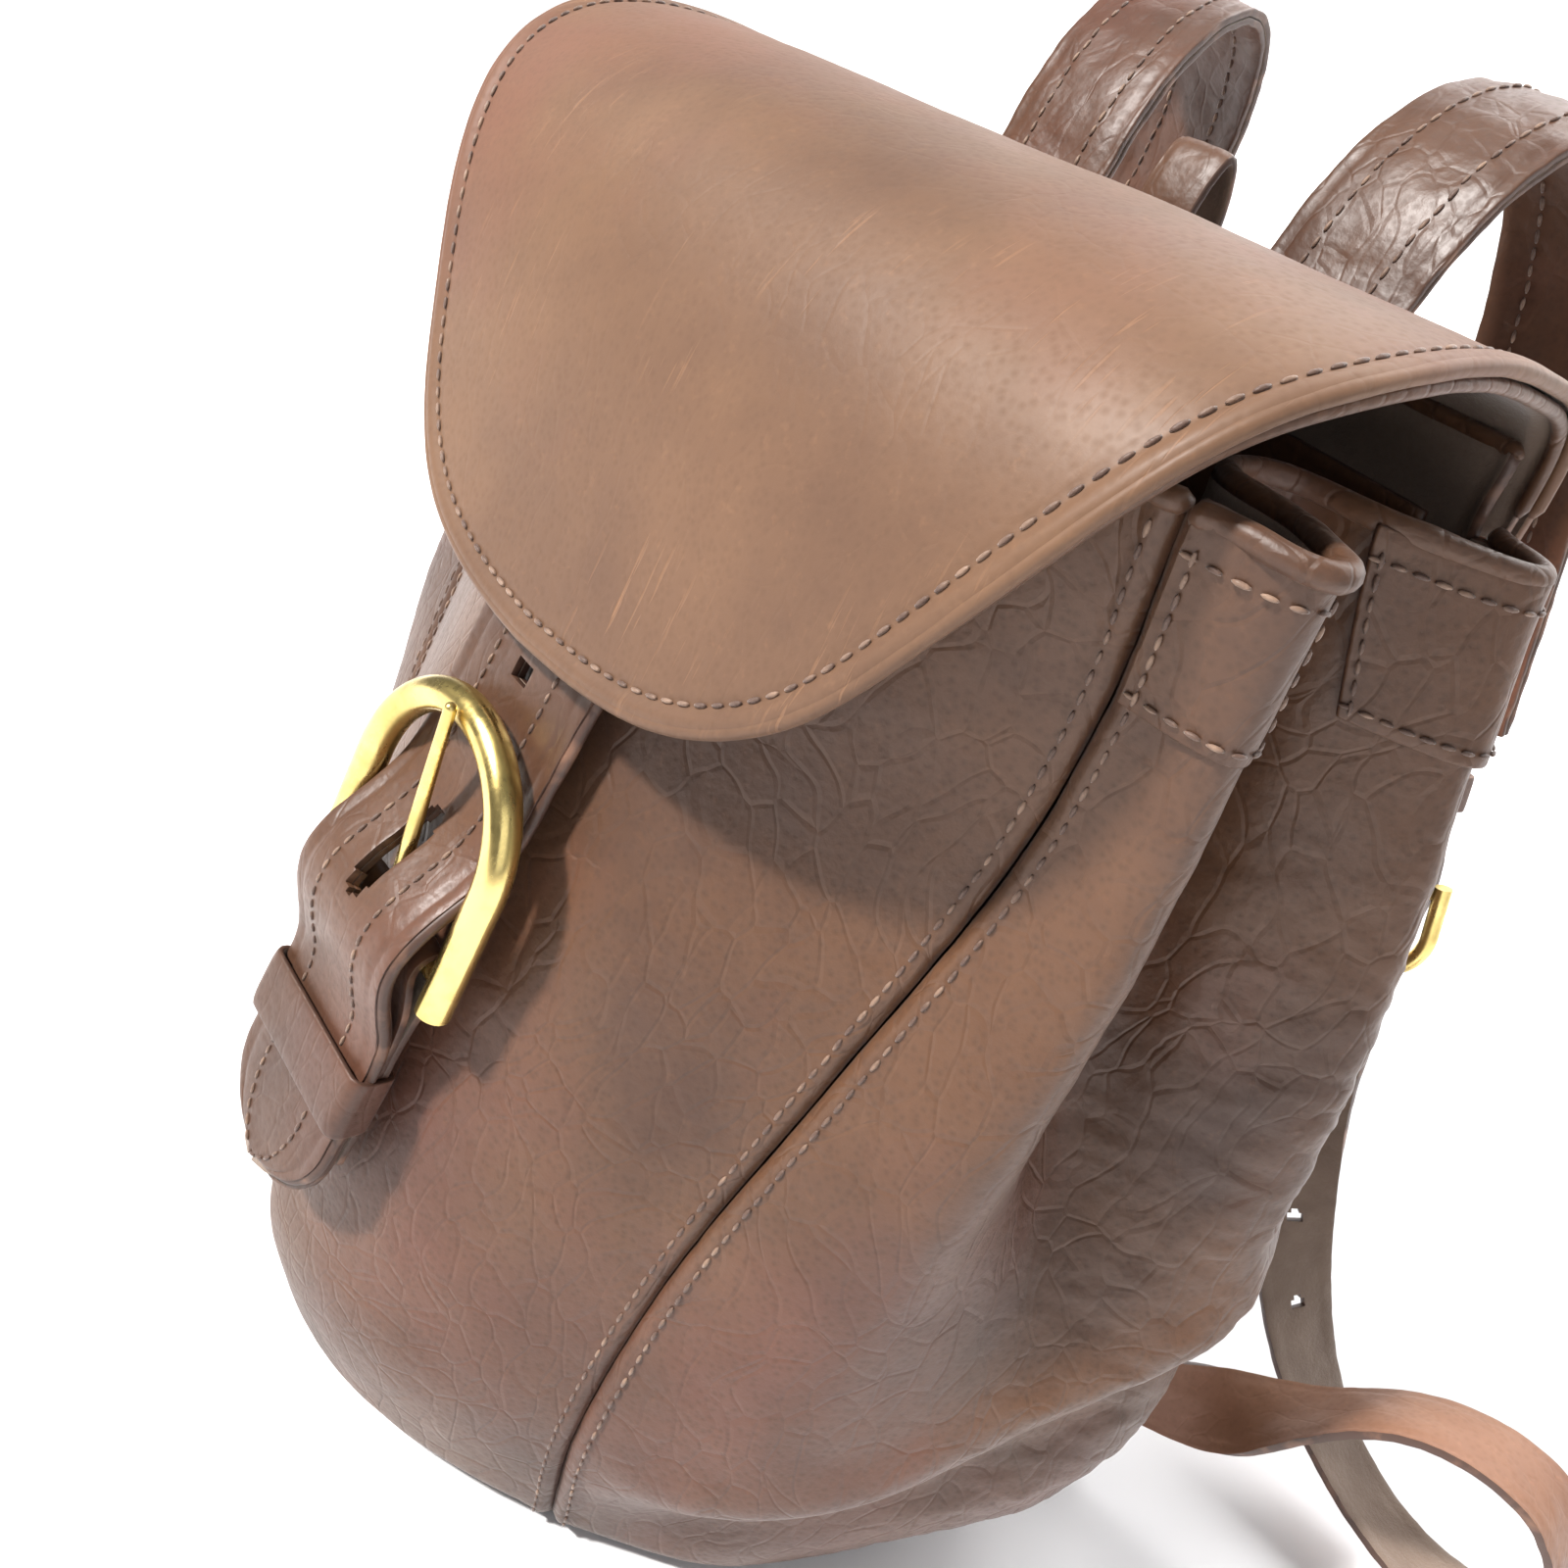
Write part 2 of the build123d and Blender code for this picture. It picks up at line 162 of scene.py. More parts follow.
# %% Leather recipe
def leather(name, base, deep, blush, grain=1.0, creases=0.4, gloss=0.42, scratches=0.0):
    """A dyed hide: grain, creases, patchy dye, pores and scuffs."""
    s = Shade(name)
    pebble = s.cells(620.0, "SMOOTH_F1") * 0.65 + s.noise(1100.0, 3.0, 0.6) * 0.5
    warp = s.node("ShaderNodeTexNoise", {}, Vector=s.place, Scale=24.0, out=1)
    warp = s.node("ShaderNodeVectorMath", {"operation": "SCALE"}, warp, Scale=0.03)
    crease_place = s.stretched((1.0, 1.0, 0.55))
    crease_place = s.node("ShaderNodeVectorMath", {"operation": "ADD"}, crease_place, warp)
    crease = s.ramp(s.cells(150.0, "DISTANCE_TO_EDGE", crease_place), (0.0, 0.0), (0.09, 1.0))
    patches = s.ramp(s.noise(17.0, 5.0, 0.6), (0.38, 0.0), (0.66, 1.0))
    rosy = s.ramp(s.noise(9.0, 4.0, 0.55, stretch=(1.0, 1.3, 0.8)), (0.5, 0.0), (0.68, 1.0))
    colour = s.mix(patches, base, deep)
    colour = s.mix(rosy * 0.55, colour, blush)
    pores = s.ramp(s.cells(620.0), (0.1, 1.0), (0.55, 0.0))
    colour = s.mix(pores * (0.22 * grain), colour, tuple(0.45 * c for c in base))
    speck = s.ramp(s.noise(420.0, 2.0, 0.7), (0.60, 0.0), (0.78, 1.0))
    colour = s.mix(speck * 0.16, colour, tuple(min(1.0, 1.9 * c) for c in base))
    height = pebble * 0.5 + crease * creases
    rough = s.noise(38.0, 4.0) * 0.26 + (1.0 - gloss - 0.13) + pores * 0.08
    if scratches:
        for turn, reach in (((0.0, 0.0, 0.7), 0.62), ((0.3, 0.0, -0.5), 0.64), ((0.0, 0.2, 1.9), 0.65)):
            where = s.stretched((950.0, 60.0, 60.0), turn)
            line = s.node("ShaderNodeTexNoise", {}, Vector=where, Scale=1.0, Detail=2.0, Roughness=0.45)
            patch = s.ramp(s.noise(30.0, 2.0), (0.52, 0.0), (0.62, 1.0))
            mark = s.ramp(line, (reach + 0.03, 0.0), (reach + 0.06, 1.0)) * patch
            colour = s.mix(mark * scratches, colour, tuple(min(1.0, 2.1 * c) for c in base))
            height = height - mark * 0.3
    normal = s.bump(height, 0.00022 * grain, 0.9)
    return s.set(Base_Color=colour, Roughness=rough, Normal=normal, Specular_IOR_Level=0.42,
                 Sheen_Weight=0.06, Coat_Weight=0.06, Coat_Roughness=0.35)


body_leather = leather("pebbled body leather",
                       (0.098, 0.043, 0.019), (0.052, 0.021, 0.010), (0.140, 0.048, 0.031),
                       grain=1.7, gloss=0.52)
flap_leather = leather("smooth flap leather",
                       (0.140, 0.070, 0.034), (0.095, 0.045, 0.022), (0.160, 0.058, 0.036),
                       grain=0.7, creases=0.2, gloss=0.40, scratches=0.28)
strap_leather = leather("strap leather", (0.088, 0.038, 0.018), (0.050, 0.020, 0.010), (0.140, 0.052, 0.032),
                        grain=1.3, creases=0.25, gloss=0.55)
# A lighter copy of the strap leather for the lower strap, which lies in the sun: painted sunlight.
sunlit_strap_leather = leather("strap leather with painted sunlight",
                      (0.230, 0.110, 0.060), (0.165, 0.072, 0.040), (0.280, 0.125, 0.080),
                      grain=0.7, creases=0.3)
print("four leathers made")


# %% Suede, painted edges, thread and brass
def suede():
    """The fuzzy flesh side of the hide."""
    s = Shade("suede flesh side")
    nap = s.noise(900.0, 4.0, 0.7)
    patches = s.ramp(s.noise(45.0, 4.0), (0.35, 0.0), (0.7, 1.0))
    colour = s.mix(patches, (0.125, 0.085, 0.062), (0.205, 0.150, 0.115))
    colour = s.mix(nap * 0.35, colour, (0.26, 0.20, 0.16))
    return s.set(Base_Color=colour, Roughness=0.95, Normal=s.bump(nap, 0.0003, 0.8), Sheen_Weight=0.35,
                 Specular_IOR_Level=0.2)


def edge_paint():
    """Burnished cut edges, darker than the hide, worn in places."""
    s = Shade("burnished edge")
    worn = s.ramp(s.noise(140.0, 4.0), (0.52, 0.0), (0.72, 1.0))
    colour = s.mix(worn, (0.060, 0.028, 0.018), (0.200, 0.100, 0.060))
    return s.set(Base_Color=colour, Roughness=0.5, Normal=s.bump(s.noise(500.0), 0.0002, 0.7))


def thread(name, colour, light):
    """Waxed thread with a little twist showing."""
    s = Shade(name)
    twist = s.noise(1500.0, 2.0)
    mixed = s.mix(s.ramp(s.noise(160.0), (0.45, 0.0), (0.65, 1.0)), colour, light)
    return s.set(Base_Color=mixed, Roughness=0.55, Normal=s.bump(twist, 0.0002, 0.8), Sheen_Weight=0.2)


def brass():
    """Solid brass, tarnished in the hollows and rubbed bright on top."""
    s = Shade("rubbed brass")
    smear = s.noise(70.0, 5.0, 0.6)
    fine = s.noise(1.0, 3.0, 0.6, stretch=(900.0, 900.0, 160.0))
    tarnish = s.ramp(smear, (0.42, 0.0), (0.68, 1.0))
    colour = s.mix(tarnish * 0.75, (0.820, 0.640, 0.250), (0.430, 0.330, 0.100))
    rough = tarnish * 0.22 + fine * 0.16 + 0.12
    return s.set(Base_Color=colour, Metallic=1.0, Roughness=rough, Normal=s.bump(fine, 0.00004, 0.5))


suede_side = suede()
burnished = edge_paint()
dark_thread = thread("waxed thread", (0.085, 0.045, 0.030), (0.240, 0.150, 0.100))
brass_metal = brass()
print("suede, edge paint, thread and brass made")

# %% [markdown]
# ## Curves and surfaces
# The panels are lofts: at each height the outline of the bag is a smooth curve through a few
# points, and the heights in between follow smoothly too.  A natural cubic spline does both.

# %% Smooth curves
def smooth_curve(points, count, dense=300):
    """Points evenly spaced along the natural cubic spline through the given ones."""
    p = np.asarray(points, float)
    h = np.linalg.norm(np.diff(p, axis=0), axis=1)
    t = np.concatenate([[0], np.cumsum(h)])
    system = np.eye(len(p))
    right = np.zeros_like(p)
    for i in range(1, len(p) - 1):
        system[i, i - 1:i + 2] = h[i - 1], 2 * (h[i - 1] + h[i]), h[i]
        right[i] = 6 * ((p[i + 1] - p[i]) / h[i] - (p[i] - p[i - 1]) / h[i - 1])
    bend = np.linalg.solve(system, right)
    x = np.linspace(0, t[-1], dense)
    k = np.clip(np.searchsorted(t, x, side="right") - 1, 0, len(h) - 1)
    a, b = (t[k + 1] - x)[:, None], (x - t[k])[:, None]
    hk = h[k][:, None]
    fine = (bend[k] * a ** 3 + bend[k + 1] * b ** 3) / (6 * hk)
    fine += (p[k] / hk - bend[k] * hk / 6) * a + (p[k + 1] / hk - bend[k + 1] * hk / 6) * b
    return evenly(fine, count)


def evenly(line, count):
    """The same line with evenly spaced points."""
    reach = np.concatenate([[0], np.cumsum(np.linalg.norm(np.diff(line, axis=0), axis=1))])
    at = np.linspace(0, reach[-1], count)
    return np.stack([np.interp(at, reach, line[:, k]) for k in range(line.shape[1])], 1)


# The body's outline from the base up, in millimetres: height, front middle y, front seam x y,
# fold ridge x y, pleat valley x y, side bulge x y, back seam x y, back middle y.
LEVELS = np.array((
    (3.2, -99, 70, -70, 93, -50, 107, -15, 110, 20, 92, 54, 60),
    (45, -109, 72, -75, 102, -54, 125, -12, 133, 24, 108, 61, 67),
    (95, -101.5, 74, -68, 106, -47, 121, -10, 138, 22, 110, 57, 64),
    (145, -87, 79, -54, 107, -39, 103, -9, 134, 20, 108, 51, 57),
    (195, -72, 84, -40, 106, -32, 91, -9, 126, 20, 104, 43, 49),
    (230, -64, 87, -41, 106, -36, 87, -11, 118, 19, 100, 36, 42),
    (262, -62, 89, -49, 107, -42, 85, -14, 111, 18, 96, 29, 36),
    (276, -62, 89, -49, 107, -42, 85, -14, 111, 18, 96, 27, 33),
), float)
MOUTH = 262.0
BACK_TOP = 276.0
HEM = 30.0


def level(z):
    """The outline's numbers at one height."""
    rows = LEVELS
    k = int(np.clip(np.searchsorted(rows[:, 0], z, side="right") - 1, 0, len(rows) - 2))
    p0, p1, p2, p3 = rows[max(k - 1, 0)], rows[k], rows[k + 1], rows[min(k + 2, len(rows) - 1)]
    span = p2[0] - p1[0]
    t = (z - p1[0]) / span
    m1 = (p2 - p0) / (p2[0] - p0[0]) * span
    m2 = (p3 - p1) / (p3[0] - p1[0]) * span
    near = (2 * t ** 3 - 3 * t ** 2 + 1) * p1 + (t ** 3 - 2 * t ** 2 + t) * m1
    return near + (3 * t ** 2 - 2 * t ** 3) * p2 + (t ** 3 - t ** 2) * m2


def front_points(z):
    """Across the front, from the left seam to the right one."""
    _, front, seam_x, seam_y = level(z)[:4]
    shoulder = seam_y + 0.72 * (front - seam_y)
    half = 0.52 * seam_x
    return [(-seam_x, seam_y), (-half, shoulder), (0, front), (half, shoulder), (seam_x, seam_y)]


def side_points(z):
    """Round the right gusset, from the front seam to the back seam."""
    v = level(z)[2:12]
    return [(v[i], v[i + 1]) for i in range(0, 10, 2)]


def back_points(z):
    """Across the back, from the right seam to the left one."""
    back_x, back_y, middle = level(z)[10:13]
    flat = back_y + 0.8 * (middle - back_y)
    return [(back_x, back_y), (0.55 * back_x, flat), (0, middle), (-0.55 * back_x, flat), (-back_x, back_y)]


def loft(points_at, low, high, rows, columns, start=0.0, stop=1.0):
    """A grid of points in metres; rows go up and columns go round."""
    grid = np.zeros((rows, columns, 3))
    for r, z in enumerate(np.linspace(low, high, rows)):
        line = smooth_curve(points_at(z), 400)
        take = np.linspace(start * 399, stop * 399, columns)
        x = np.interp(take, np.arange(400), line[:, 0])
        y = np.interp(take, np.arange(400), line[:, 1])
        foot = 1 - 0.045 * max(0.0, 1 - z / 9.0) ** 2
        grid[r] = np.stack([x * foot, y * foot, np.full(columns, z)], 1) * MM
    return grid


def outward(grid):
    """Unit normals of a grid, columns crossed with rows."""
    n = np.cross(np.gradient(grid, axis=1), np.gradient(grid, axis=0))
    return n / np.maximum(np.linalg.norm(n, axis=2, keepdims=True), 1e-12)


def wander(grid, size, seed, octaves=3):
    """Smooth noise over a grid, about -1 to 1, with features of the given size in metres."""
    shift = Vector((seed * 3.1, seed * 1.7, seed * 2.3))
    flat = [noise.fractal(Vector(p) / size + shift, 1.0, 2.0, octaves) for p in grid.reshape(-1, 3)]
    return np.array(flat).reshape(grid.shape[:2])


print("front seam top is", np.round(front_points(MOUTH)[-1], 1), "mm")

# %% [markdown]
# ## Meshes from grids
# A grid of points becomes a quad mesh.  Solidify then gives the hide its thickness: the flesh
# side gets suede and the rim gets edge paint.

# %% Grid to piece
HIDE = [body_leather, suede_side, burnished]
LINING_HIDE = [suede_side, suede_side, burnished]
# The lower strap's hide: its face is the lighter strap leather with painted sunlight.
SUNLIT_STRAP_HIDE = [sunlit_strap_leather, suede_side, burnished]


def grid_piece(name, grid, materials, thick, side=-1.0, skip=None, bevel=0.0, join=False):
    """A sheet of leather from a grid; skip marks faces left out, join merges edges that meet."""
    rows, columns = grid.shape[:2]
    number = np.arange(rows * columns).reshape(rows, columns)
    quads = np.stack([number[:-1, :-1], number[:-1, 1:], number[1:, 1:], number[1:, :-1]], -1)
    keep = np.ones(quads.shape[:2], bool) if skip is None else ~skip
    mesh = bpy.data.meshes.new(name)
    mesh.from_pydata(grid.reshape(-1, 3).tolist(), [], quads[keep].tolist())
    mesh.polygons.foreach_set("use_smooth", [True] * len(mesh.polygons))
    for material in materials:
        mesh.materials.append(material)
    piece = bpy.data.objects.new(name, mesh)
    bpy.context.collection.objects.link(piece)
    if join:
        work = bmesh.new()
        work.from_mesh(mesh)
        bmesh.ops.remove_doubles(work, verts=work.verts, dist=0.02 * MM)
        work.to_mesh(mesh)
        work.free()
    if thick:
        shell = piece.modifiers.new("thickness", "SOLIDIFY")
        shell.thickness = thick
        shell.offset = side
        shell.use_even_offset = False
        shell.material_offset = 1
        shell.material_offset_rim = 2
    if bevel:
        round_edge = piece.modifiers.new("rounded edge", "BEVEL")
        round_edge.width = bevel
        round_edge.segments = 2
        round_edge.limit_method = "ANGLE"
        round_edge.angle_limit = math.radians(60)
    return piece


def mirrored(grid):
    """The same grid on the left, with its columns turned round so that it still faces out."""
    return (grid * (-1, 1, 1))[:, ::-1]


def finish_piece(piece, body, slot, *nodes):
    """Make the piece ride the given body and hide the CAD parts it stands for; the slot is not used."""
    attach(piece, body)
    if nodes:
        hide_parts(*nodes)
    print(piece.name, "rides", body)


# %% [markdown]
# ## The body panels
# Real panels are never even.  Each seam pulls the hide into a narrow valley and puckers it,
# the belly sags over a soft fold, and the lower front is dented where it is gripped.  These
# are moves of the surface itself, so they show in the outline as well as in the shading.

# %% Sewn and sagging surfaces
def edge_distance(grid):
    """How far each point is from its panel's left and right edge."""
    step = np.linalg.norm(np.diff(grid, axis=1), axis=2)
    run = np.concatenate([np.zeros((grid.shape[0], 1)), np.cumsum(step, axis=1)], 1)
    return run, run[:, -1:] - run


def sewn(grid, seed, sag=1.0):
    """Pull the edges into a seam, pucker them, and let the middle sag a little."""
    left, right = edge_distance(grid)
    near = np.minimum(left, right)
    valley = -1.1 * np.exp(-(near / 0.0014) ** 2)
    ridge = 0.55 * np.exp(-((near - 0.0030) / 0.0022) ** 2)
    row_dip = -0.28 * np.exp(-((near - 0.0045) / 0.0009) ** 2)
    pucker = 0.35 * wander(grid, 0.007, seed, 2) * np.exp(-near / 0.010)
    waves = sag * (0.9 * wander(grid, 0.055, seed + 1, 2) + 0.30 * wander(grid, 0.016, seed + 2, 2))
    hold = 1 - np.exp(-(near / 0.02) ** 2)
    return (valley + ridge + row_dip + pucker + waves * hold) * MM


def soft_step(x):
    """0 below -1, 1 above 1, smooth between."""
    t = np.clip((x + 1) / 2, 0, 1)
    return t * t * (3 - 2 * t)


BODY_ROWS = 170
front_grid = loft(front_points, 1.0, MOUTH, BODY_ROWS, 150)
x, z = front_grid[..., 0] / MM, front_grid[..., 2] / MM
crease_line = -34 + 0.16 * (z - 40)
crease = 3.2 * np.exp(-((x - crease_line) / 5.0) ** 2) - 3.4 * np.exp(-((x - crease_line - 11) / 7.0) ** 2)
crease = crease * soft_step((70 - z) / 34) * soft_step((z - 12) / 9)
dent = -2.6 * np.exp(-((x + 4) / 34) ** 2 - ((z - 52) / 20) ** 2)
front_move = sewn(front_grid, 1.0) + (crease + dent) * MM
front_grid = front_grid + outward(front_grid) * front_move[..., None]
front = grid_piece("front_panel_leather", front_grid, HIDE, 2.0 * MM)
finish_piece(front, "bag", "body_leather", "front_panel")

side_grid = loft(side_points, 1.0, MOUTH, BODY_ROWS, 180)
left_run, right_run = edge_distance(side_grid)
share = left_run / (left_run + right_run)
z = side_grid[..., 2] / MM
fold_height = 26 + 120 * share ** 1.4
fold = 3.4 * np.exp(-((z - fold_height - 7) / 10) ** 2) - 5.2 * np.exp(-((z - fold_height + 12) / 15) ** 2)
fold = fold * soft_step((share - 0.12) / 0.12) * soft_step((0.97 - share) / 0.06)
flank = soft_step((share - 0.45) / 0.12) * soft_step((210 - z) / 40)
fine = 0.55 * wander(side_grid * (1.0, 1.0, 2.4), 0.009, 7.0, 3) * flank


def along_row(grid, run, index):
    """How far along each row the outline's ridge or valley point lies."""
    spots = []
    for row, reach in zip(grid, run):
        target = level(max(row[0, 2] / MM, 3.2))[index:index + 2] * MM
        spots.append(reach[np.argmin(np.linalg.norm(row[:, :2] - target, axis=1))])
    return np.array(spots)[:, None]


valley_run, ridge_run = along_row(side_grid, left_run, 6), along_row(side_grid, left_run, 4)
pleat = -11.0 * np.exp(-((left_run - valley_run) / 0.011) ** 2)
pleat += 2.0 * np.exp(-((left_run - ridge_run) / 0.009) ** 2)
fold = fold + pleat * soft_step((z - 128) / 48)
side_grid = side_grid + outward(side_grid) * (sewn(side_grid, 3.0, 1.2) + (fold + fine) * MM)[..., None]
for side, grid in (("right", side_grid), ("left", mirrored(side_grid))):
    gusset = grid_piece(f"gusset_leather_{side}", grid, HIDE, 2.0 * MM)
    finish_piece(gusset, "bag", "body_leather", f"gusset_{side}")

back_grid = loft(back_points, 1.0, BACK_TOP, 150, 120)
back_grid = back_grid + outward(back_grid) * sewn(back_grid, 5.0)[..., None]
back = grid_piece("back_panel_leather", back_grid, HIDE, 2.0 * MM)
finish_piece(back, "bag", "body_leather", "back_panel")


# %% [markdown]
# ## The base
# The base is one oval of thick hide.  Rings of its outline shrink towards the middle, so it
# stays a grid, and it lies flat where the bag stands.

# %% Base
rim = np.concatenate([front_grid[0, :-1], side_grid[0, :-1], back_grid[0, :-1], mirrored(side_grid)[0, :-1]])
rim[:, 2] = 1.2 * MM
centre = rim.mean(axis=0)
rings = [centre + (rim - centre) * k for k in (0.02, 0.2, 0.4, 0.6, 0.8, 0.93, 0.975, 0.995)]
base_grid = np.array(rings)[:, list(range(len(rim))) + [0]]
base_grid[..., 2] = 0.05 * MM
base_grid[-1, :, 2] = 2.4 * MM
base_grid[-2, :, 2] = 0.5 * MM
base = grid_piece("base_leather", base_grid, HIDE, 2.4 * MM, side=-1.0)
finish_piece(base, "bag", "body_leather", "base_panel")

# %% [markdown]
# ## Tubes along a line
# Turned hems, rolled edges and thick seams all read as a soft round edge.  A tube swept along
# a line, a little flattened, gives that edge its highlight.

# %% Tube
def frames(line, up):
    """Tangent, side and up directions along a line."""
    tangent = np.gradient(line, axis=0)
    tangent /= np.linalg.norm(tangent, axis=1, keepdims=True)
    up = np.broadcast_to(np.asarray(up, float), line.shape)
    side = np.cross(up, tangent)
    side /= np.maximum(np.linalg.norm(side, axis=1, keepdims=True), 1e-9)
    return tangent, side, np.cross(tangent, side)


def tube(name, line, radius, material, up=(0, 0, 1), flat=1.0, around=12, wobble=0.0, seed=1.0):
    """A closed, capped tube along an open line, its section flattened along the side direction."""
    line = np.asarray(line, float)
    _, side, top = frames(line, up)
    angle = np.linspace(0, 2 * math.pi, around, endpoint=False)
    swell = np.array([1 + wobble * noise.noise(Vector(p) * 160 + Vector((seed, 0, 0))) for p in line])
    swell[[0, -1]] *= 0.4
    ring = np.cos(angle)[None, :, None] * side[:, None] * flat + np.sin(angle)[None, :, None] * top[:, None]
    points = line[:, None] + ring * (radius * swell)[:, None, None]
    count = len(line)
    vertices = np.concatenate([points.reshape(-1, 3), line[[0, -1]]])
    faces = []
    for r in range(count - 1):
        for k in range(around):
            j = (k + 1) % around
            faces.append((r * around + k, (r + 1) * around + k, (r + 1) * around + j, r * around + j))
    first, last = count * around, count * around + 1
    for k in range(around):
        j = (k + 1) % around
        faces.append((first, k, j))
        faces.append((last, (count - 1) * around + j, (count - 1) * around + k))
    mesh = bpy.data.meshes.new(name)
    mesh.from_pydata(vertices.tolist(), [], faces)
    mesh.polygons.foreach_set("use_smooth", [True] * len(mesh.polygons))
    mesh.materials.append(material)
    work = bmesh.new()
    work.from_mesh(mesh)
    bmesh.ops.recalc_face_normals(work, faces=work.faces)
    work.to_mesh(mesh)
    work.free()
    piece = bpy.data.objects.new(name, mesh)
    bpy.context.collection.objects.link(piece)
    return piece


# %% [markdown]
# ## Hems at the mouth
# Round the mouth the hide is turned over a narrow band and stitched.  The band is a second
# layer on the panel, with its own lower edge, and the turn is a soft roll along the top.

# %% Hem bands, rolls and facings
def layer(points_at, low, high, start, stop, lift, rows=16, columns=60, seed=9.0):
    """A second layer lying on a panel, lifted by the given millimetres."""
    grid = loft(points_at, low, high, rows, columns, start, stop)
    relief = 0.25 * wander(grid, 0.012, seed, 2)
    return grid + outward(grid) * ((lift + relief) * MM)[..., None]


for node, start, stop in (("hem_band", 0.015, 0.205), ("rear_hem", 0.60, 0.975)):
    grid = layer(side_points, MOUTH - HEM, MOUTH + 0.5, start, stop, 1.9)
    for side, placed in (("right", grid), ("left", mirrored(grid))):
        band = grid_piece(f"{node}_leather_{side}", placed, HIDE, 1.5 * MM, bevel=0.5 * MM)
        finish_piece(band, "bag", "body_leather", f"{node}_{side}")

for name, points_at in (("front", front_points), ("back", back_points)):
    grid = layer(points_at, MOUTH - HEM, MOUTH, 0.05, 0.95, -3.4)[:, ::-1]
    facing = grid_piece(f"{name}_facing_leather", grid, HIDE, 1.4 * MM)
    finish_piece(facing, "bag", "suede", f"{name}_facing")

front_rim, side_rim = front_grid[-1], side_grid[-1]
for side, flip in (("right", 1), ("left", -1)):
    line = evenly(side_rim[2:-2] * (flip, 1, 1), 150) + (0, 0, 0.6 * MM)
    roll = tube(f"gusset_rolled_edge_{side}", line, 2.1 * MM, body_leather, wobble=0.10, flat=0.95)
    finish_piece(roll, "bag", "body_leather")
line = evenly(front_rim, 120) + (0, 0.6 * MM, 0.4 * MM)
roll = tube("front_rolled_edge", line, 1.9 * MM, body_leather, wobble=0.08)
finish_piece(roll, "bag", "body_leather")
line = evenly(back_grid[-1], 90) + (0, -0.8 * MM, 0)
roll = tube("back_rolled_edge", line, 1.5 * MM, body_leather, wobble=0.08)
finish_piece(roll, "bag", "body_leather")

# %% [markdown]
# ## The flap
# The flap is two hides sewn edge to edge.  Its outline is a tongue, so the grid is a fan: each
# line runs from a short spine in the middle out to the edge.  Rows then follow the edge, which
# is what the turned rim and its stitches need.  The sheet bends over a curve in the YZ plane.

# %% Flap shape
FLAP_LINE = [(36.5, 262), (34.8, 272), (29.5, 282.5), (12, 288.5), (-12, 291), (-36, 288), (-57, 277)]
FLAP_LINE += [(-69.5, 258), (-76.3, 232), (-81, 208), (-85.4, 190)]
FLAP_OUTLINE = [(99, 0), (100, 30), (101, 66), (99.5, 92), (93, 116), (84.5, 138), (73, 162), (59, 184)]
FLAP_OUTLINE += [(44, 195), (24, 201), (0, 203)]
flap_profile = smooth_curve([(0, y, z) for y, z in FLAP_LINE], 500)
flap_reach = np.concatenate([[0], np.cumsum(np.linalg.norm(np.diff(flap_profile, axis=0), axis=1))])
print("flap length over the curve:", round(flap_reach[-1], 1), "mm")


def flap_place(x, s, lift):
    """Where a point of the flat flap goes: x across, s along, lift off the sheet, millimetres."""
    y = np.interp(s, flap_reach, flap_profile[:, 1])
    z = np.interp(s, flap_reach, flap_profile[:, 2])
    dy = np.interp(s + 1, flap_reach, flap_profile[:, 1]) - np.interp(s - 1, flap_reach, flap_profile[:, 1])
    dz = np.interp(s + 1, flap_reach, flap_profile[:, 2]) - np.interp(s - 1, flap_reach, flap_profile[:, 2])
    size = np.maximum(np.hypot(dy, dz), 1e-6)
    ny, nz = dz / size, -dy / size
    fall = soft_step((s - 120) / 60)
    wrap = 6.5 * (np.abs(x) / 90) ** 2.2 * fall
    droop = 2.2 * (np.abs(x) / 100) ** 3 * soft_step((s - 60) / 40)
    y = y + ny * lift + wrap
    z = z + nz * lift - droop
    return np.stack([x, y, z], -1) * MM


def flap_grid(inset, lift, across=46, along=150):
    """The fan of lines from the spine to the outline."""
    right = smooth_curve(FLAP_OUTLINE, 400)
    right[:, 0] -= inset * np.clip(right[:, 0] / 30, 0, 1)
    right[:, 1] -= inset * np.clip((right[:, 1] - 150) / 40, 0, 1)
    outline = np.concatenate([right * (-1, 1), right[::-1][1:]])
    outline = evenly(outline, 2 * along + 1)
    spine_end = 128.0
    half = np.minimum(outline[:, 1], spine_end * (1 - np.exp(-outline[:, 1] / 90)) * 1.2)
    spine = np.stack([np.zeros(len(outline)), np.minimum(half, spine_end)], 1)
    share = 1 - (1 - np.linspace(0, 1, across)) ** 1.7
    flat = spine[None] + (outline - spine)[None] * share[:, None, None]
    to_edge = (1 - share)[:, None] * np.linalg.norm(outline - spine, axis=1)[None]
    bulge = 0.75 * np.exp(-((to_edge - 1.6) / 1.7) ** 2) - 0.35 * np.exp(-((to_edge - 4.4) / 0.8) ** 2)
    grid = flap_place(flat[..., 0], flat[..., 1], lift + bulge)
    waves = 0.9 * wander(grid, 0.060, 11.0, 2) + 0.12 * wander(grid, 0.012, 12.0, 2)
    grid = grid + np.stack([np.zeros_like(waves), np.zeros_like(waves), waves * MM], -1)
    return grid[:, ::-1], outline


FLAP_HIDE = [flap_leather, suede_side, flap_leather]
outer_grid, outer_outline = flap_grid(0.0, 0.0)
lining_grid, lining_outline = flap_grid(1.1, -2.9)
flap_outer = grid_piece("flap_outer_leather", outer_grid, FLAP_HIDE, 1.6 * MM, join=True)
flap_lining = grid_piece("flap_lining_leather", lining_grid, LINING_HIDE, 1.3 * MM, join=True)


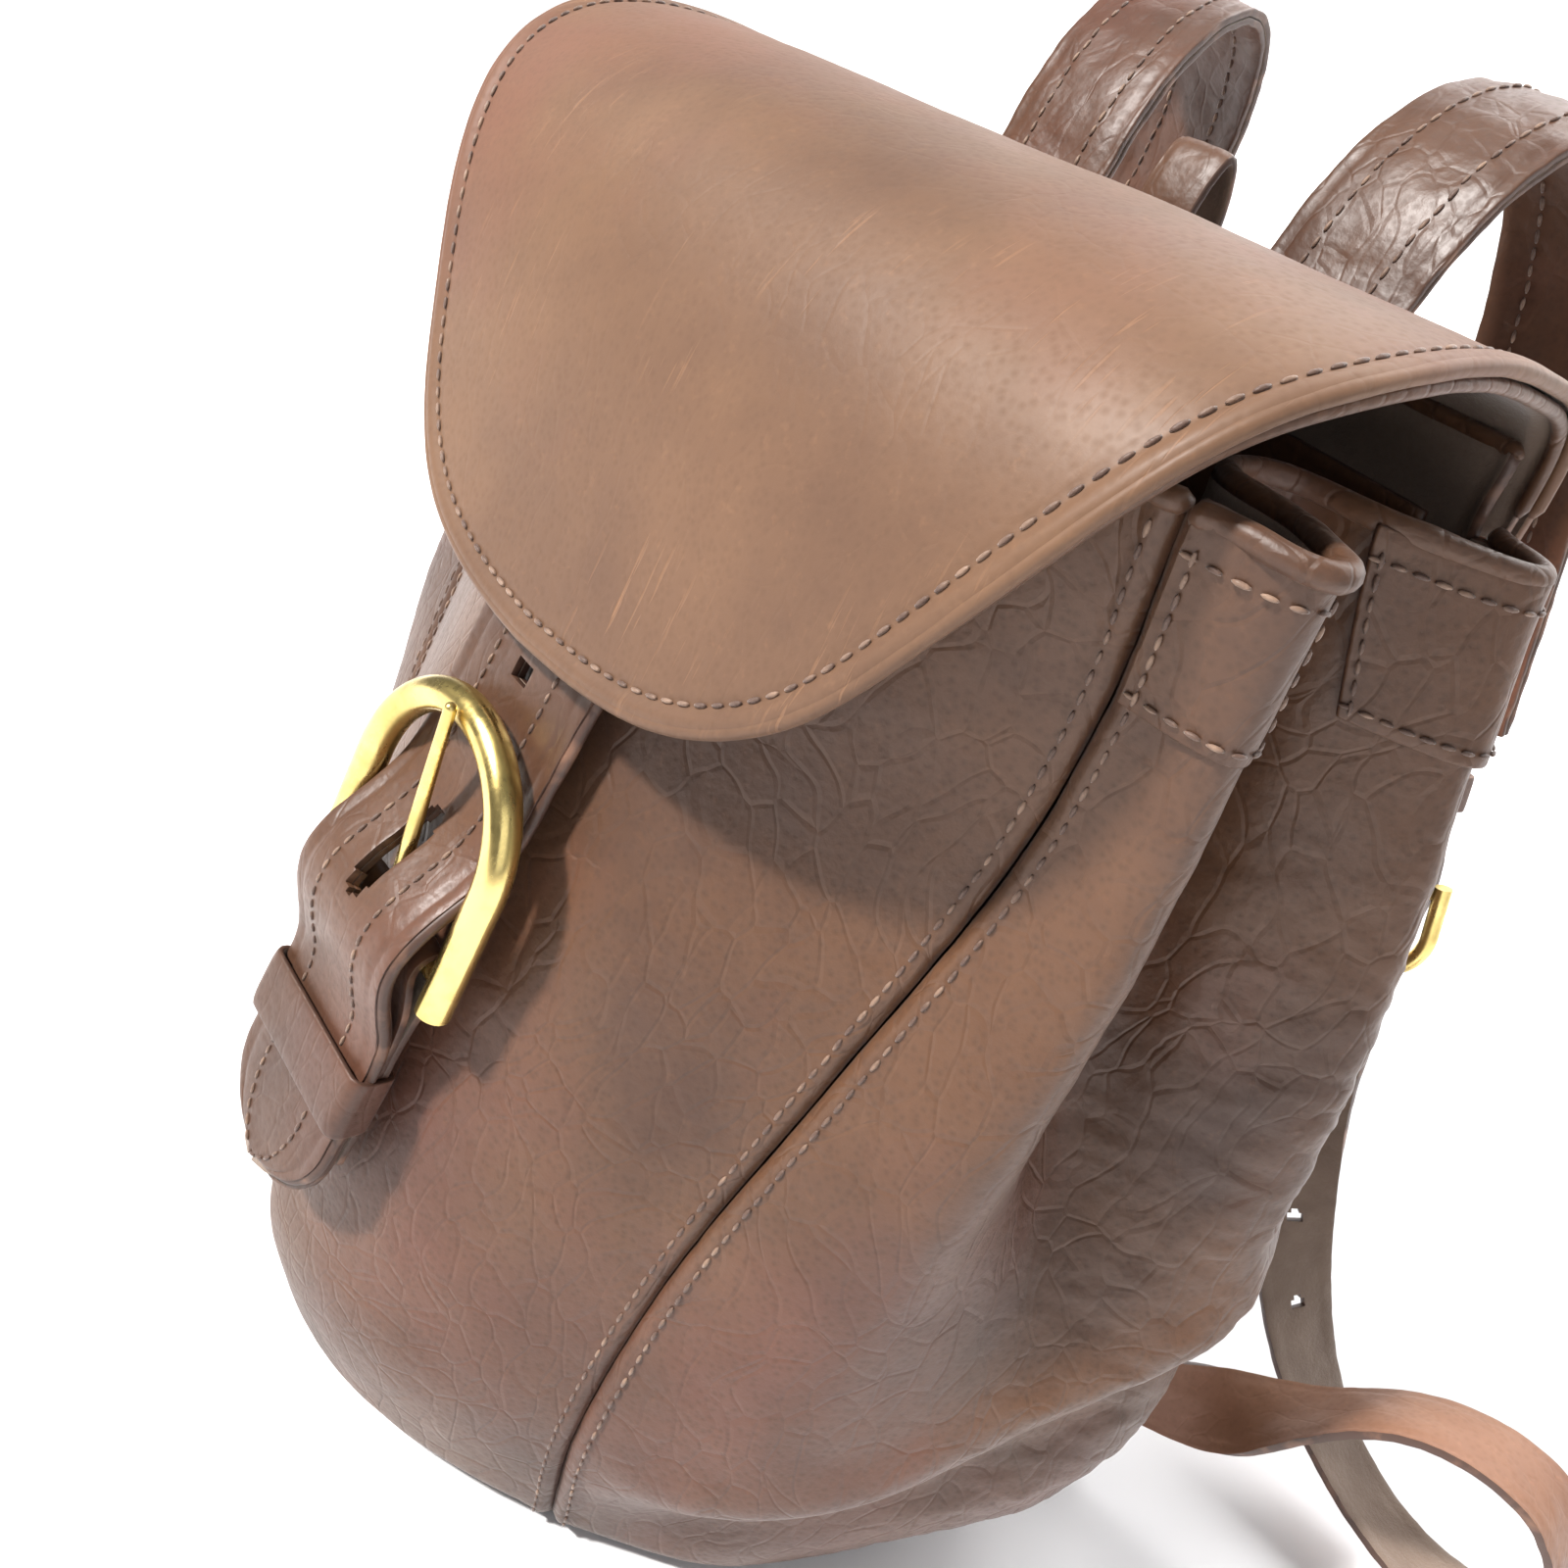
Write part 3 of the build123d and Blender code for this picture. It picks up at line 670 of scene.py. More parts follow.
def rim_line(outline, lift, inset):
    """The flap's edge, moved in by inset and lifted, without the stretch at the hinge."""
    line = outline[3:-3].copy()
    middle = np.array([0.0, 110.0])
    inward = middle - line
    line = line + inward / np.linalg.norm(inward, axis=1, keepdims=True) * inset
    place = flap_place(line[:, 0], line[:, 1], lift)
    waves = 0.9 * wander(place[None], 0.060, 11.0, 2)[0]
    return place + np.stack([0 * waves, 0 * waves, waves * MM], -1)


line = rim_line(outer_outline, -0.75, 0.2)
flap_roll = tube("flap_rolled_edge", line, 1.35 * MM, flap_leather, wobble=0.07)
line = rim_line(lining_outline, -3.5, 0.1)
lining_roll = tube("flap_lining_rolled_edge", line, 1.2 * MM, body_leather, wobble=0.07)
FLAP_BEND = ((0, 0.0345, 0.275), (0, 0.0235, 0.275))
for piece, slot, nodes in ((flap_outer, "flap_leather", ("flap_outer",)),
                           (flap_lining, "suede", ("flap_lining",)),
                           (flap_roll, "flap_leather", ()), (lining_roll, "flap_leather", ())):
    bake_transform(piece)
    if nodes:
        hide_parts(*nodes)
    print(piece.name, "bends from the bag to the flap")

# %% [markdown]
# ## Straps
# A strap is a narrow grid along a route.  Its section is crowned in the middle and falls to
# its edges, its faces are leather and its rim is burnished.  Routes are short lists of points,
# each with the direction that the strap's width points in.

# %% Strap builder
def strap_grid(points, sides, width, across=21, step=1.2, crown=0.35, tip=0.0, seed=2.0, wrinkle=0.12):
    """A grid along a route: rows along it, columns across; tip rounds the first end."""
    points, sides = np.asarray(points, float), np.asarray(sides, float)
    joined = smooth_curve(np.concatenate([points, sides * 8], 1), 1200)
    length = np.linalg.norm(np.diff(joined[:, :3], axis=0), axis=1).sum()
    reach = np.concatenate([[0], np.cumsum(np.linalg.norm(np.diff(joined[:, :3], axis=0), axis=1))])
    rows = max(int(length / step), 8)
    at = np.linspace(0, length, rows)
    if tip:
        at = length * (1 - np.cos(np.linspace(0, math.pi / 2, rows))) * 0.3 + at * 0.7
    mid = np.stack([np.interp(at, reach, joined[:, k]) for k in range(3)], 1)
    side = np.stack([np.interp(at, reach, joined[:, k]) for k in range(3, 6)], 1)
    along = np.gradient(mid, axis=0)
    along /= np.linalg.norm(along, axis=1, keepdims=True)
    side -= along * (side * along).sum(1, keepdims=True)
    side /= np.linalg.norm(side, axis=1, keepdims=True)
    face = np.cross(side, along)
    u = np.linspace(-1, 1, across)
    half = np.full(rows, width / 2)
    if tip:
        inside = np.clip(tip - at, 0, tip)
        half = np.maximum(width / 2 * np.sqrt(np.clip(1 - (inside / tip) ** 2, 0, 1)), 0.6)
    dome = crown * (1 - u ** 4) - 0.4 * np.exp(-((np.abs(u) - 0.84) / 0.05) ** 2)
    grid = mid[:, None] + side[:, None] * (u[None, :] * half[:, None])[..., None]
    grid = (grid + face[:, None] * dome[None, :, None]) * MM
    return grid + outward(grid) * (wrinkle * wander(grid, 0.006, seed, 2) * MM)[..., None], at, u


STRAP_HIDE = [strap_leather, suede_side, burnished]


def face_middles(values):
    """Values at the middles of faces, from values at the grid's lines."""
    return (values[:-1] + values[1:]) / 2


def hole_faces(grid, across, place, along, centre, half_length, half_width):
    """The faces inside a rounded hole, its centre measured along the strap from a bar."""
    spot = ((grid / MM - place) * along).sum(axis=2)
    spot = (spot[:-1, :-1] + spot[1:, 1:]) / 2
    middle = face_middles(across)[None]
    return np.abs((spot - centre) / half_length) ** 4 + np.abs(middle / half_width) ** 4 < 1


def edge_lines(grid, inset, lift):
    """Two lines along a strap's edges, where its stitches run."""
    normal = outward(grid)
    columns = grid.shape[1]
    half = np.linalg.norm(grid[:, -1] - grid[:, 0], axis=1) / 2
    lines = []
    for sign in (-1, 1):
        at = (columns - 1) / 2 * (1 + sign * (1 - inset / np.maximum(half, 2 * inset)))
        low = np.clip(np.floor(at).astype(int), 0, columns - 2)
        t = (at - low)[:, None]
        rows = np.arange(len(grid))
        spot = grid[rows, low] * (1 - t) + grid[rows, low + 1] * t
        lines.append(spot + normal[rows, low] * lift)
    return lines


# %% [markdown]
# ## The closure
# The closure strap comes from under the flap, passes beneath the buckle's curve, arches over
# its bar and lies on the chape.  Everything here sits in the buckle's own frame, leaning back
# with the front panel, so a small function turns that frame's numbers into places.

# %% Closure strap, chape and keeper
TILT = math.radians(16)
BAR_Y, BAR_Z = -93.2, 132.0


def closure(u, n, x=0.0):
    """A place in the buckle's frame: u up the strap, n off the panel."""
    y = BAR_Y + u * math.sin(TILT) - n * math.cos(TILT)
    return (x, y, BAR_Z + u * math.cos(TILT) + n * math.sin(TILT))


CLOSURE_ROUTE = [(-64, 6.6), (-48, 6.7), (-30, 6.8), (-18, 8.2), (-9, 12.6), (0, 14.6), (9, 11.6), (17, 6.6)]
CLOSURE_ROUTE += [(26, 3.0), (38, 2.1), (55, 2.1), (72, 2.1), (90, 2.1)]
route = [closure(u, n) for u, n in CLOSURE_ROUTE]
strap, at, u = strap_grid(route, [(1, 0, 0)] * len(route), 38.0, across=47, step=0.9,
                          crown=0.5, tip=17.0, wrinkle=0.16)
bar_place, bar_along = np.array(closure(0, 0)), np.array(closure(1, 0)) - np.array(closure(0, 0))
prong_hole = hole_faces(strap, u * 19, bar_place, bar_along, 12.5, 10.0, 3.1)
spare_hole = hole_faces(strap, u * 19, bar_place, bar_along, 54, 2.4, 2.4)
closure_strap = grid_piece("closure_strap_leather", strap, STRAP_HIDE, 1.6 * MM, side=0.0,
                           skip=prong_hole | spare_hole, bevel=0.45 * MM)
finish_piece(closure_strap, "flap", "strap_leather", "closure_strap_outer")
closure_lines = edge_lines(strap, 2.6, 0.95 * MM)
under = strap - outward(strap) * 1.75 * MM
closure_under = grid_piece("closure_strap_lining_leather", under, LINING_HIDE, 1.4 * MM,
                           side=0.0, skip=prong_hole | spare_hole, bevel=0.4 * MM)
finish_piece(closure_under, "flap", "suede", "closure_strap_lining")
for k, line in enumerate((strap[:, 0], strap[:, -1])):
    line = evenly(line - outward(strap)[:, 0] * 0.8 * MM, 150)
    roll = tube(f"closure_strap_thick_edge_{k}", line, 1.25 * MM, burnished, up=(1, 0, 0), wobble=0.15)
    finish_piece(roll, "flap", "strap_leather")

CHAPE_ROUTE = [(-67, 4.3), (-40, 4.3), (-22, 4.4), (-12, 5.6), (-5, 8.0), (0.0, 8.6), (3.1, 5.4)]
CHAPE_ROUTE += [(0, 2.4), (-10, 2.3), (-40, 2.3), (-50, 2.3)]
route = [closure(u, n) for u, n in CHAPE_ROUTE]
chape, at, u = strap_grid(route, [(1, 0, 0)] * len(route), 38.0, across=35, step=0.9, crown=0.2, tip=17.0)
eye_slot = (np.abs(face_middles(at)[:, None] - 70) < 10) & (np.abs(face_middles(u)[None] * 19) < 3.0)
chape_piece = grid_piece("closure_chape_leather", chape, STRAP_HIDE, 1.5 * MM, side=0.0,
                         skip=eye_slot, bevel=0.4 * MM)
finish_piece(chape_piece, "bag", "strap_leather", "closure_chape")


def keeper_ring(name, place, half, low, high, centre, width, body, node, left=False):
    """A closed band of leather round a strap, with rolled edges."""
    corner = 2.2
    ring = []
    for cx, cn, first in ((half - corner, high - corner, 0), (-half + corner, high - corner, 90),
                          (-half + corner, low + corner * 0.6, 180),
                          (half - corner, low + corner * 0.6, 270)):
        size = corner if cn > (low + high) / 2 else corner * 0.6
        for a in np.radians(np.linspace(first, first + 90, 7)):
            ring.append((cx + size * math.cos(a), cn + size * math.sin(a)))
    ring.append(ring[0])
    ring = evenly(np.array(ring), 90)
    rows = []
    for u in np.linspace(-width / 2, width / 2, 15):
        puff = 0.5 * (1 - (2 * u / width) ** 4)
        rows.append([place(centre + u, n + (puff if n > (low + high) / 2 else 0.0), x) for x, n in ring])
    grid = np.array(rows)[::-1] * MM
    if left:
        grid = mirrored(grid)
    piece = grid_piece(name, grid, STRAP_HIDE, 1.2 * MM, side=0.0, bevel=0.35 * MM, join=True)
    finish_piece(piece, body, "strap_leather", node)


keeper_ring("closure_keeper_leather", closure, 20.3, 0.8, 9.4, -34.0, 14.0, "keeper", "closure_keeper")

# %% [markdown]
# ## Shoulder straps
# Two wide straps rise from the yoke behind the flap, fall behind the bag and end at a small
# buckle.  A narrower, single strap loops from that buckle to the bottom corner.

# %% Shoulder straps and adjusters
BASE_ROUTE = [((38, 45.4, 228), (1, 0, 0)), ((38, 45.8, 244), (1, 0, 0)), ((38, 46.8, 264), (1, 0, 0))]
UPPER_ROUTE = [((38, 46.6, 254), (1, 0, 0)), ((38.5, 49, 275), (1, 0, 0)), ((39.5, 55, 297), (1, 0, 0)),
               ((42, 70, 318), (1, 0, 0)), ((46, 91, 325), (1, 0, 0)), ((51, 108, 310), (1, 0, 0.1)),
               ((58, 116, 280), (1, 0, 0.18)), ((67, 118, 245), (1, 0, 0.25)),
               ((77.5, 118, 206), (1, 0, 0.27))]
LOWER_ROUTE = [((103, 115.5, 112), (1, 0, 0.35)), ((114, 116, 82), (0.8, 0.5, 0.3)),
               ((134, 118, 48), (0.4, 0.9, 0.2)),
               ((162, 120, 23), (0.1, 1, 0)), ((190, 118, 18), (0, 1, 0)), ((210, 110, 34), (0, 1, 0)),
               ((211, 102, 60), (0, 1, 0)), ((196, 94, 80), (0, 1, 0)), ((174, 88, 78), (0, 1, 0)),
               ((155, 83, 58), (0, 0.9, 0.3)), ((138, 77, 40), (0, 0.5, 0.8)),
               ((119.6, 68.9, 30.6), (0, 0, 1))]
TAB_ROUTE = [((119, 68.6, 30.2), (0, 0, 1)), ((113, 65.8, 29), (0, 0, 1)), ((106, 62.4, 28), (0, 0, 1))]
ALONG = np.array([77 - 67, 0, 208 - 245]) / math.hypot(10, 37)
ACROSS = np.array([-ALONG[2], 0, ALONG[0]])
ADJUSTER = np.array([77, 118, 208]) + ALONG * 44.4 - (0, 2.8, 0)


def adjuster(u, n, x=0.0):
    """A place in the right adjuster's frame: u down the strap, n away from the bag."""
    return tuple(ADJUSTER + ACROSS * x + ALONG * u + np.array([0, n, 0]))


def split_route(route):
    return [point for point, _ in route], [side for _, side in route]


TAIL = [(-41, 5.7), (-28, 5.7), (-14, 5.8), (-6, 8.0), (0, 9.0), (6, 6.6), (14, 3.2), (22, 2.0), (30, 1.9)]
stitch_jobs = []


def strap_bend(side):
    """Two points along a shoulder strap near the yoke, given back as a dict; nothing bends the strap about
    them.
    """
    flip = 1 if side == "right" else -1
    return {"start": (flip * 0.038, 0.047, 0.258), "end": (flip * 0.0392, 0.054, 0.292)}


def both(name, grid, leather_set, thick, body, slot, *nodes, skip=None, bevel=0.4 * MM, inset=None):
    """Make a strap piece on the right and its mirror image on the left."""
    for side, placed in (("right", grid), ("left", mirrored(grid))):
        hole = skip if side == "right" or skip is None else skip[:, ::-1]
        piece = grid_piece(f"{name}_{side}", placed, leather_set, thick, side=0.0, skip=hole, bevel=bevel)
        made_nodes = [f"{node}_{side}" for node in nodes]
        if name.startswith("shoulder_strap"):
            strap_bend(side)
            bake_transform(piece)
            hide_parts(*made_nodes)
        else:
            finish_piece(piece, body.replace("SIDE", side), slot, *made_nodes)
        if inset:
            for line in edge_lines(placed, inset, thick / 2 + 0.15 * MM):
                stitch_jobs.append((body.replace("SIDE", side), line))


upper, _, _ = strap_grid(*split_route(UPPER_ROUTE), 32.0, across=25, crown=0.6, wrinkle=0.4, seed=21.0)
shoulder_show = upper + outward(upper) * 1.0 * MM
both("shoulder_strap_leather", shoulder_show, STRAP_HIDE, 1.7 * MM, "shoulder_SIDE", "strap_leather",
     "shoulder_strap_outer", inset=2.6)
under_side = upper[:, ::-1]
shoulder_lining = under_side + outward(under_side) * 0.85 * MM
both("shoulder_strap_lining_leather", shoulder_lining, STRAP_HIDE, 1.5 * MM, "shoulder_SIDE", "suede",
     "shoulder_strap_lining", inset=2.6)
base_strap, _, _ = strap_grid(*split_route(BASE_ROUTE), 34.5, across=25, crown=0.5, wrinkle=0.25, seed=23.0)
both("strap_base_leather", base_strap, STRAP_HIDE, 5.2 * MM, "bag", "strap_leather", "strap_base",
     bevel=1.0 * MM, inset=3.0)

SMALL_CHAPE = [(-46, 2.7), (-20, 2.7), (-8, 3.2), (-3, 6.0), (0.2, 6.9), (2.6, 4.2), (0, 1.9)]
SMALL_CHAPE += [(-8, 1.3), (-30, 1.2), (-44, 1.2)]
chape_route = [adjuster(u, n) for u, n in SMALL_CHAPE]
small_chape, at, u = strap_grid(chape_route, [ACROSS] * len(chape_route), 20.0, across=21, step=0.9)
slot_faces = (np.abs(face_middles(at)[:, None] - 48) < 8) & (np.abs(face_middles(u)[None] * 10) < 2.2)
both("adjuster_chape_leather", small_chape, STRAP_HIDE, 1.4 * MM, "shoulder_SIDE", "strap_leather",
     "adjuster_chape", skip=slot_faces)

lower_points, lower_sides = split_route(LOWER_ROUTE)
tail_points = [adjuster(u, n) for u, n in TAIL]
lower, at, u = strap_grid(tail_points + lower_points, [ACROSS] * len(TAIL) + lower_sides, 20.0, across=21,
                          crown=0.3, tip=9.0, wrinkle=0.3, seed=25.0)
middle_at = face_middles(at)[:, None]
x_mid = face_middles(u)[None] * 10
holes = hole_faces(lower, u * 10, ADJUSTER, ALONG, 7.0, 6.6, 2.4) & (middle_at < 70)
for spot in (90, 115, 140, 165):
    holes |= ((middle_at - spot) / 1.9) ** 2 + (x_mid / 1.9) ** 2 < 1
# The lower strap gets the lighter strap leather, painted sunlight on the strap that lies in the sun.
both("lower_strap_leather", lower, SUNLIT_STRAP_HIDE, 2.0 * MM, "shoulder_SIDE", "strap_leather", "lower_strap",
     skip=holes, bevel=0.5 * MM)
tab, _, _ = strap_grid(*split_route(TAB_ROUTE), 26.0, across=15, step=0.8)
both("strap_tab_leather", tab, STRAP_HIDE, 5.4 * MM, "bag", "strap_leather", "strap_tab",
     bevel=0.9 * MM, inset=2.6)


for side in ("right", "left"):
    keeper_ring(f"adjuster_keeper_leather_{side}", adjuster, 11.0, 0.6, 7.2, -26.0, 9.0,
                f"adjuster_loop_{side}", f"adjuster_keeper_{side}", left=side == "left")

# %% [markdown]
# ## Yoke and hanging loop
# A patch on the back carries the straps, and a small folded strip makes the loop that the bag
# hangs from.

# %% Yoke and hanging loop
yoke_grid = layer(back_points, 208, 268, 0.2, 0.8, 2.0, rows=50, columns=90, seed=31.0)
yoke = grid_piece("back_yoke_leather", yoke_grid, HIDE, 1.4 * MM, bevel=0.45 * MM)
finish_piece(yoke, "bag", "body_leather", "back_yoke")
LOOP_LINE = [(46.5, 228), (44.8, 246), (43.6, 268), (44, 290), (49, 299), (54, 290), (53.5, 268)]
LOOP_LINE += [(51, 250), (47.6, 234)]
loop_route = [(0, y, z) for y, z in LOOP_LINE]
loop_grid, _, _ = strap_grid(loop_route, [(1, 0, 0)] * len(loop_route), 14.0, across=15,
                             wrinkle=0.3, seed=33.0)
loop = grid_piece("hanging_loop_leather", loop_grid, STRAP_HIDE, 1.9 * MM, side=0.0, bevel=0.5 * MM)
finish_piece(loop, "bag", "strap_leather", "hanging_loop")

# %% [markdown]
# ## Stitches
# Thousands of stitches are one small shape repeated along lines, which is a job for Geometry
# Nodes: resample a line at the stitch pitch, put a bead on each point, turn it along the line
# and vary its size a little.  The result is turned into plain mesh, one for each body.

# %% Stitch tree
def stitch_tree():
    """A node tree that sews a row of stitches along the edges of a mesh."""
    tree = bpy.data.node_groups.new("stitch row", "GeometryNodeTree")
    tree.interface.new_socket("Line", in_out="INPUT", socket_type="NodeSocketGeometry")
    sizes = {}
    for name, default in (("Pitch", 3.6 * MM), ("Length", 2.7 * MM), ("Thickness", 0.8 * MM)):
        made = tree.interface.new_socket(name, in_out="INPUT", socket_type="NodeSocketFloat")
        made.default_value = default
        sizes[name] = made.identifier
    made = tree.interface.new_socket("Thread", in_out="INPUT", socket_type="NodeSocketMaterial")
    sizes["Thread"] = made.identifier
    tree.interface.new_socket("Stitches", in_out="OUTPUT", socket_type="NodeSocketGeometry")

    def add(kind, **inputs):
        made = tree.nodes.new(kind)
        for key, value in inputs.items():
            socket = made.inputs[key.replace("_", " ")]
            if isinstance(value, bpy.types.NodeSocket):
                tree.links.new(value, socket)
            else:
                socket.default_value = value
        return made

    given = tree.nodes.new("NodeGroupInput")
    line = add("GeometryNodeMeshToCurve", Mesh=given.outputs["Line"])
    rows = tree.nodes.new("GeometryNodeResampleCurve")
    rows.mode = "LENGTH"
    tree.links.new(line.outputs[0], rows.inputs["Curve"])
    tree.links.new(given.outputs["Pitch"], rows.inputs[3])
    size = tree.nodes.new("ShaderNodeCombineXYZ")
    tree.links.new(given.outputs["Length"], size.inputs[0])
    tree.links.new(given.outputs["Thickness"], size.inputs[1])
    tree.links.new(given.outputs["Thickness"], size.inputs[2])
    vary = tree.nodes.new("FunctionNodeRandomValue")
    vary.inputs[2].default_value = 0.88
    vary.inputs[3].default_value = 1.08
    vary.inputs["Seed"].default_value = 4
    scale = tree.nodes.new("ShaderNodeVectorMath")
    scale.operation = "SCALE"
    tree.links.new(size.outputs[0], scale.inputs[0])
    tree.links.new(vary.outputs[1], scale.inputs[3])
    bead = add("GeometryNodeMeshUVSphere", Segments=8, Rings=6, Radius=0.5)
    tangent = tree.nodes.new("GeometryNodeInputTangent")
    turn = tree.nodes.new("FunctionNodeAlignRotationToVector")
    turn.axis = "X"
    tree.links.new(tangent.outputs[0], turn.inputs["Vector"])
    placed = add("GeometryNodeInstanceOnPoints", Points=rows.outputs[0], Instance=bead.outputs[0],
                 Rotation=turn.outputs[0], Scale=scale.outputs[0])
    real = add("GeometryNodeRealizeInstances", Geometry=placed.outputs[0])
    smooth = add("GeometryNodeSetShadeSmooth", Geometry=real.outputs[0])
    paint = add("GeometryNodeSetMaterial", Geometry=smooth.outputs[0], Material=given.outputs["Thread"])
    done = tree.nodes.new("NodeGroupOutput")
    tree.links.new(paint.outputs[0], done.inputs[0])
    return tree, sizes


sewing, sewing_sizes = stitch_tree()


def sew(name, lines, body, bend=None, pitch=3.6 * MM, length=2.8 * MM, thick=0.85 * MM):
    """Stitches along the lines as one plain mesh that rides a body, or stays in place unattached when a bend
    is given.
    """
    vertices, edges = [], []
    for line in lines:
        start = len(vertices)
        vertices += [tuple(p) for p in line]
        edges += [(i, i + 1) for i in range(start, len(vertices) - 1)]
    mesh = bpy.data.meshes.new(name + "_lines")
    mesh.from_pydata(vertices, edges, [])
    holder = bpy.data.objects.new(name + "_lines", mesh)
    bpy.context.collection.objects.link(holder)
    modifier = holder.modifiers.new("sewing", "NODES")
    modifier.node_group = sewing
    for key, value in (("Pitch", pitch), ("Length", length), ("Thickness", thick), ("Thread", dark_thread)):
        modifier[sewing_sizes[key]] = value
    seen = holder.evaluated_get(bpy.context.evaluated_depsgraph_get())
    plain = bpy.data.meshes.new_from_object(seen)
    bpy.data.objects.remove(holder)
    piece = bpy.data.objects.new(name, plain)
    bpy.context.collection.objects.link(piece)
    if bend:
        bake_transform(piece)
    else:
        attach(piece, body)
    print(name, len(plain.vertices) // 42, "stitches")
    return piece


# %% [markdown]
# ## Where the stitches run
# Topstitching runs on both sides of every seam, just inside every turned edge, and along the
# straps.  Each row is a column or a row of the grid that made the piece, lifted a hair.

# %% Sew the bag
def column_line(grid, distance, from_left, lift=0.10 * MM, low=0.02, high=0.985):
    """A line up a panel at a given distance from one of its edges."""
    left, right = edge_distance(grid)
    run = left if from_left else right
    normal = outward(grid)
    line = []
    for r in range(int(low * len(grid)), int(high * len(grid))):
        order = np.argsort(run[r])
        spot = [np.interp(distance, run[r][order], grid[r, order, k]) for k in range(3)]
        lean = [np.interp(distance, run[r][order], normal[r, order, k]) for k in range(3)]
        line.append(np.array(spot) + np.array(lean) * lift)
    return np.array(line)


ROW = 4.2 * MM
left_side = mirrored(side_grid)
body_lines = [column_line(front_grid, ROW, True), column_line(front_grid, ROW, False)]
body_lines += [column_line(side_grid, ROW, True, high=0.88), column_line(side_grid, ROW, False, high=0.88)]
body_lines += [column_line(left_side, ROW, True, high=0.88), column_line(left_side, ROW, False, high=0.88)]
body_lines += [column_line(back_grid, ROW, True, high=0.94), column_line(back_grid, ROW, False, high=0.94)]
sew("body_seam_stitches", body_lines, "bag")

hem_lines = []
for start, stop in ((0.03, 0.195), (0.61, 0.965)):
    for height in (MOUTH - 4.5, MOUTH - HEM + 2.4):
        grid = layer(side_points, height, height + 0.1, start, stop, 2.25, rows=2, columns=50)
        hem_lines += [grid[0], grid[0] * (-1, 1, 1)]
    for edge in (start + 0.006, stop - 0.004):
        grid = layer(side_points, MOUTH - HEM + 2.4, MOUTH - 4.5, edge, edge + 0.001, 2.25,
                     rows=20, columns=2)
        hem_lines += [grid[:, 0], grid[:, 0] * (-1, 1, 1)]
yoke_edge = np.concatenate([yoke_grid[3, 3:-3], yoke_grid[3:-3, -4],
                            yoke_grid[-4, 3:-3][::-1], yoke_grid[3:-3, 3][::-1]])
hem_lines.append(yoke_edge + (0, 0.25 * MM, 0))
sew("hem_stitches", hem_lines, "bag", pitch=3.4 * MM)

flap_lines = [rim_line(outer_outline, 0.05, 4.4)[::2]]
flap_bend = {"start": FLAP_BEND[0], "end": FLAP_BEND[1]}
sew("flap_edge_stitches", flap_lines, "flap", bend=flap_bend, length=2.7 * MM)
sew("closure_strap_stitches", closure_lines, "flap", pitch=3.2 * MM, length=2.5 * MM)
for body in sorted({body for body, _ in stitch_jobs}):
    bend = strap_bend(body.split("_")[1]) if body.startswith("shoulder") else None
    lines = [line for name, line in stitch_jobs if name == body]
    sew(f"strap_stitches_{body}", lines, body, bend, pitch=3.4 * MM)

# %% [markdown]
# ## Metal
# The buckle, its bar and its prong are real turned shapes in the frame already, so they only
# need their finish.

# %% Brass
for name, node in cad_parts.items():
    if any(word in name for word in ("_frame", "_bar", "_prong")):
        node.data.materials.clear()
        node.data.materials.append(brass_metal)
        print(name, "is brass")

# %% [markdown]
# ## Floor, light and camera
# The bag stands on a pale floor that curves up behind it.  A big soft key from the upper left
# and front rakes over the grain, with a weak fill, and the camera looks down at the right
# front corner from close by.

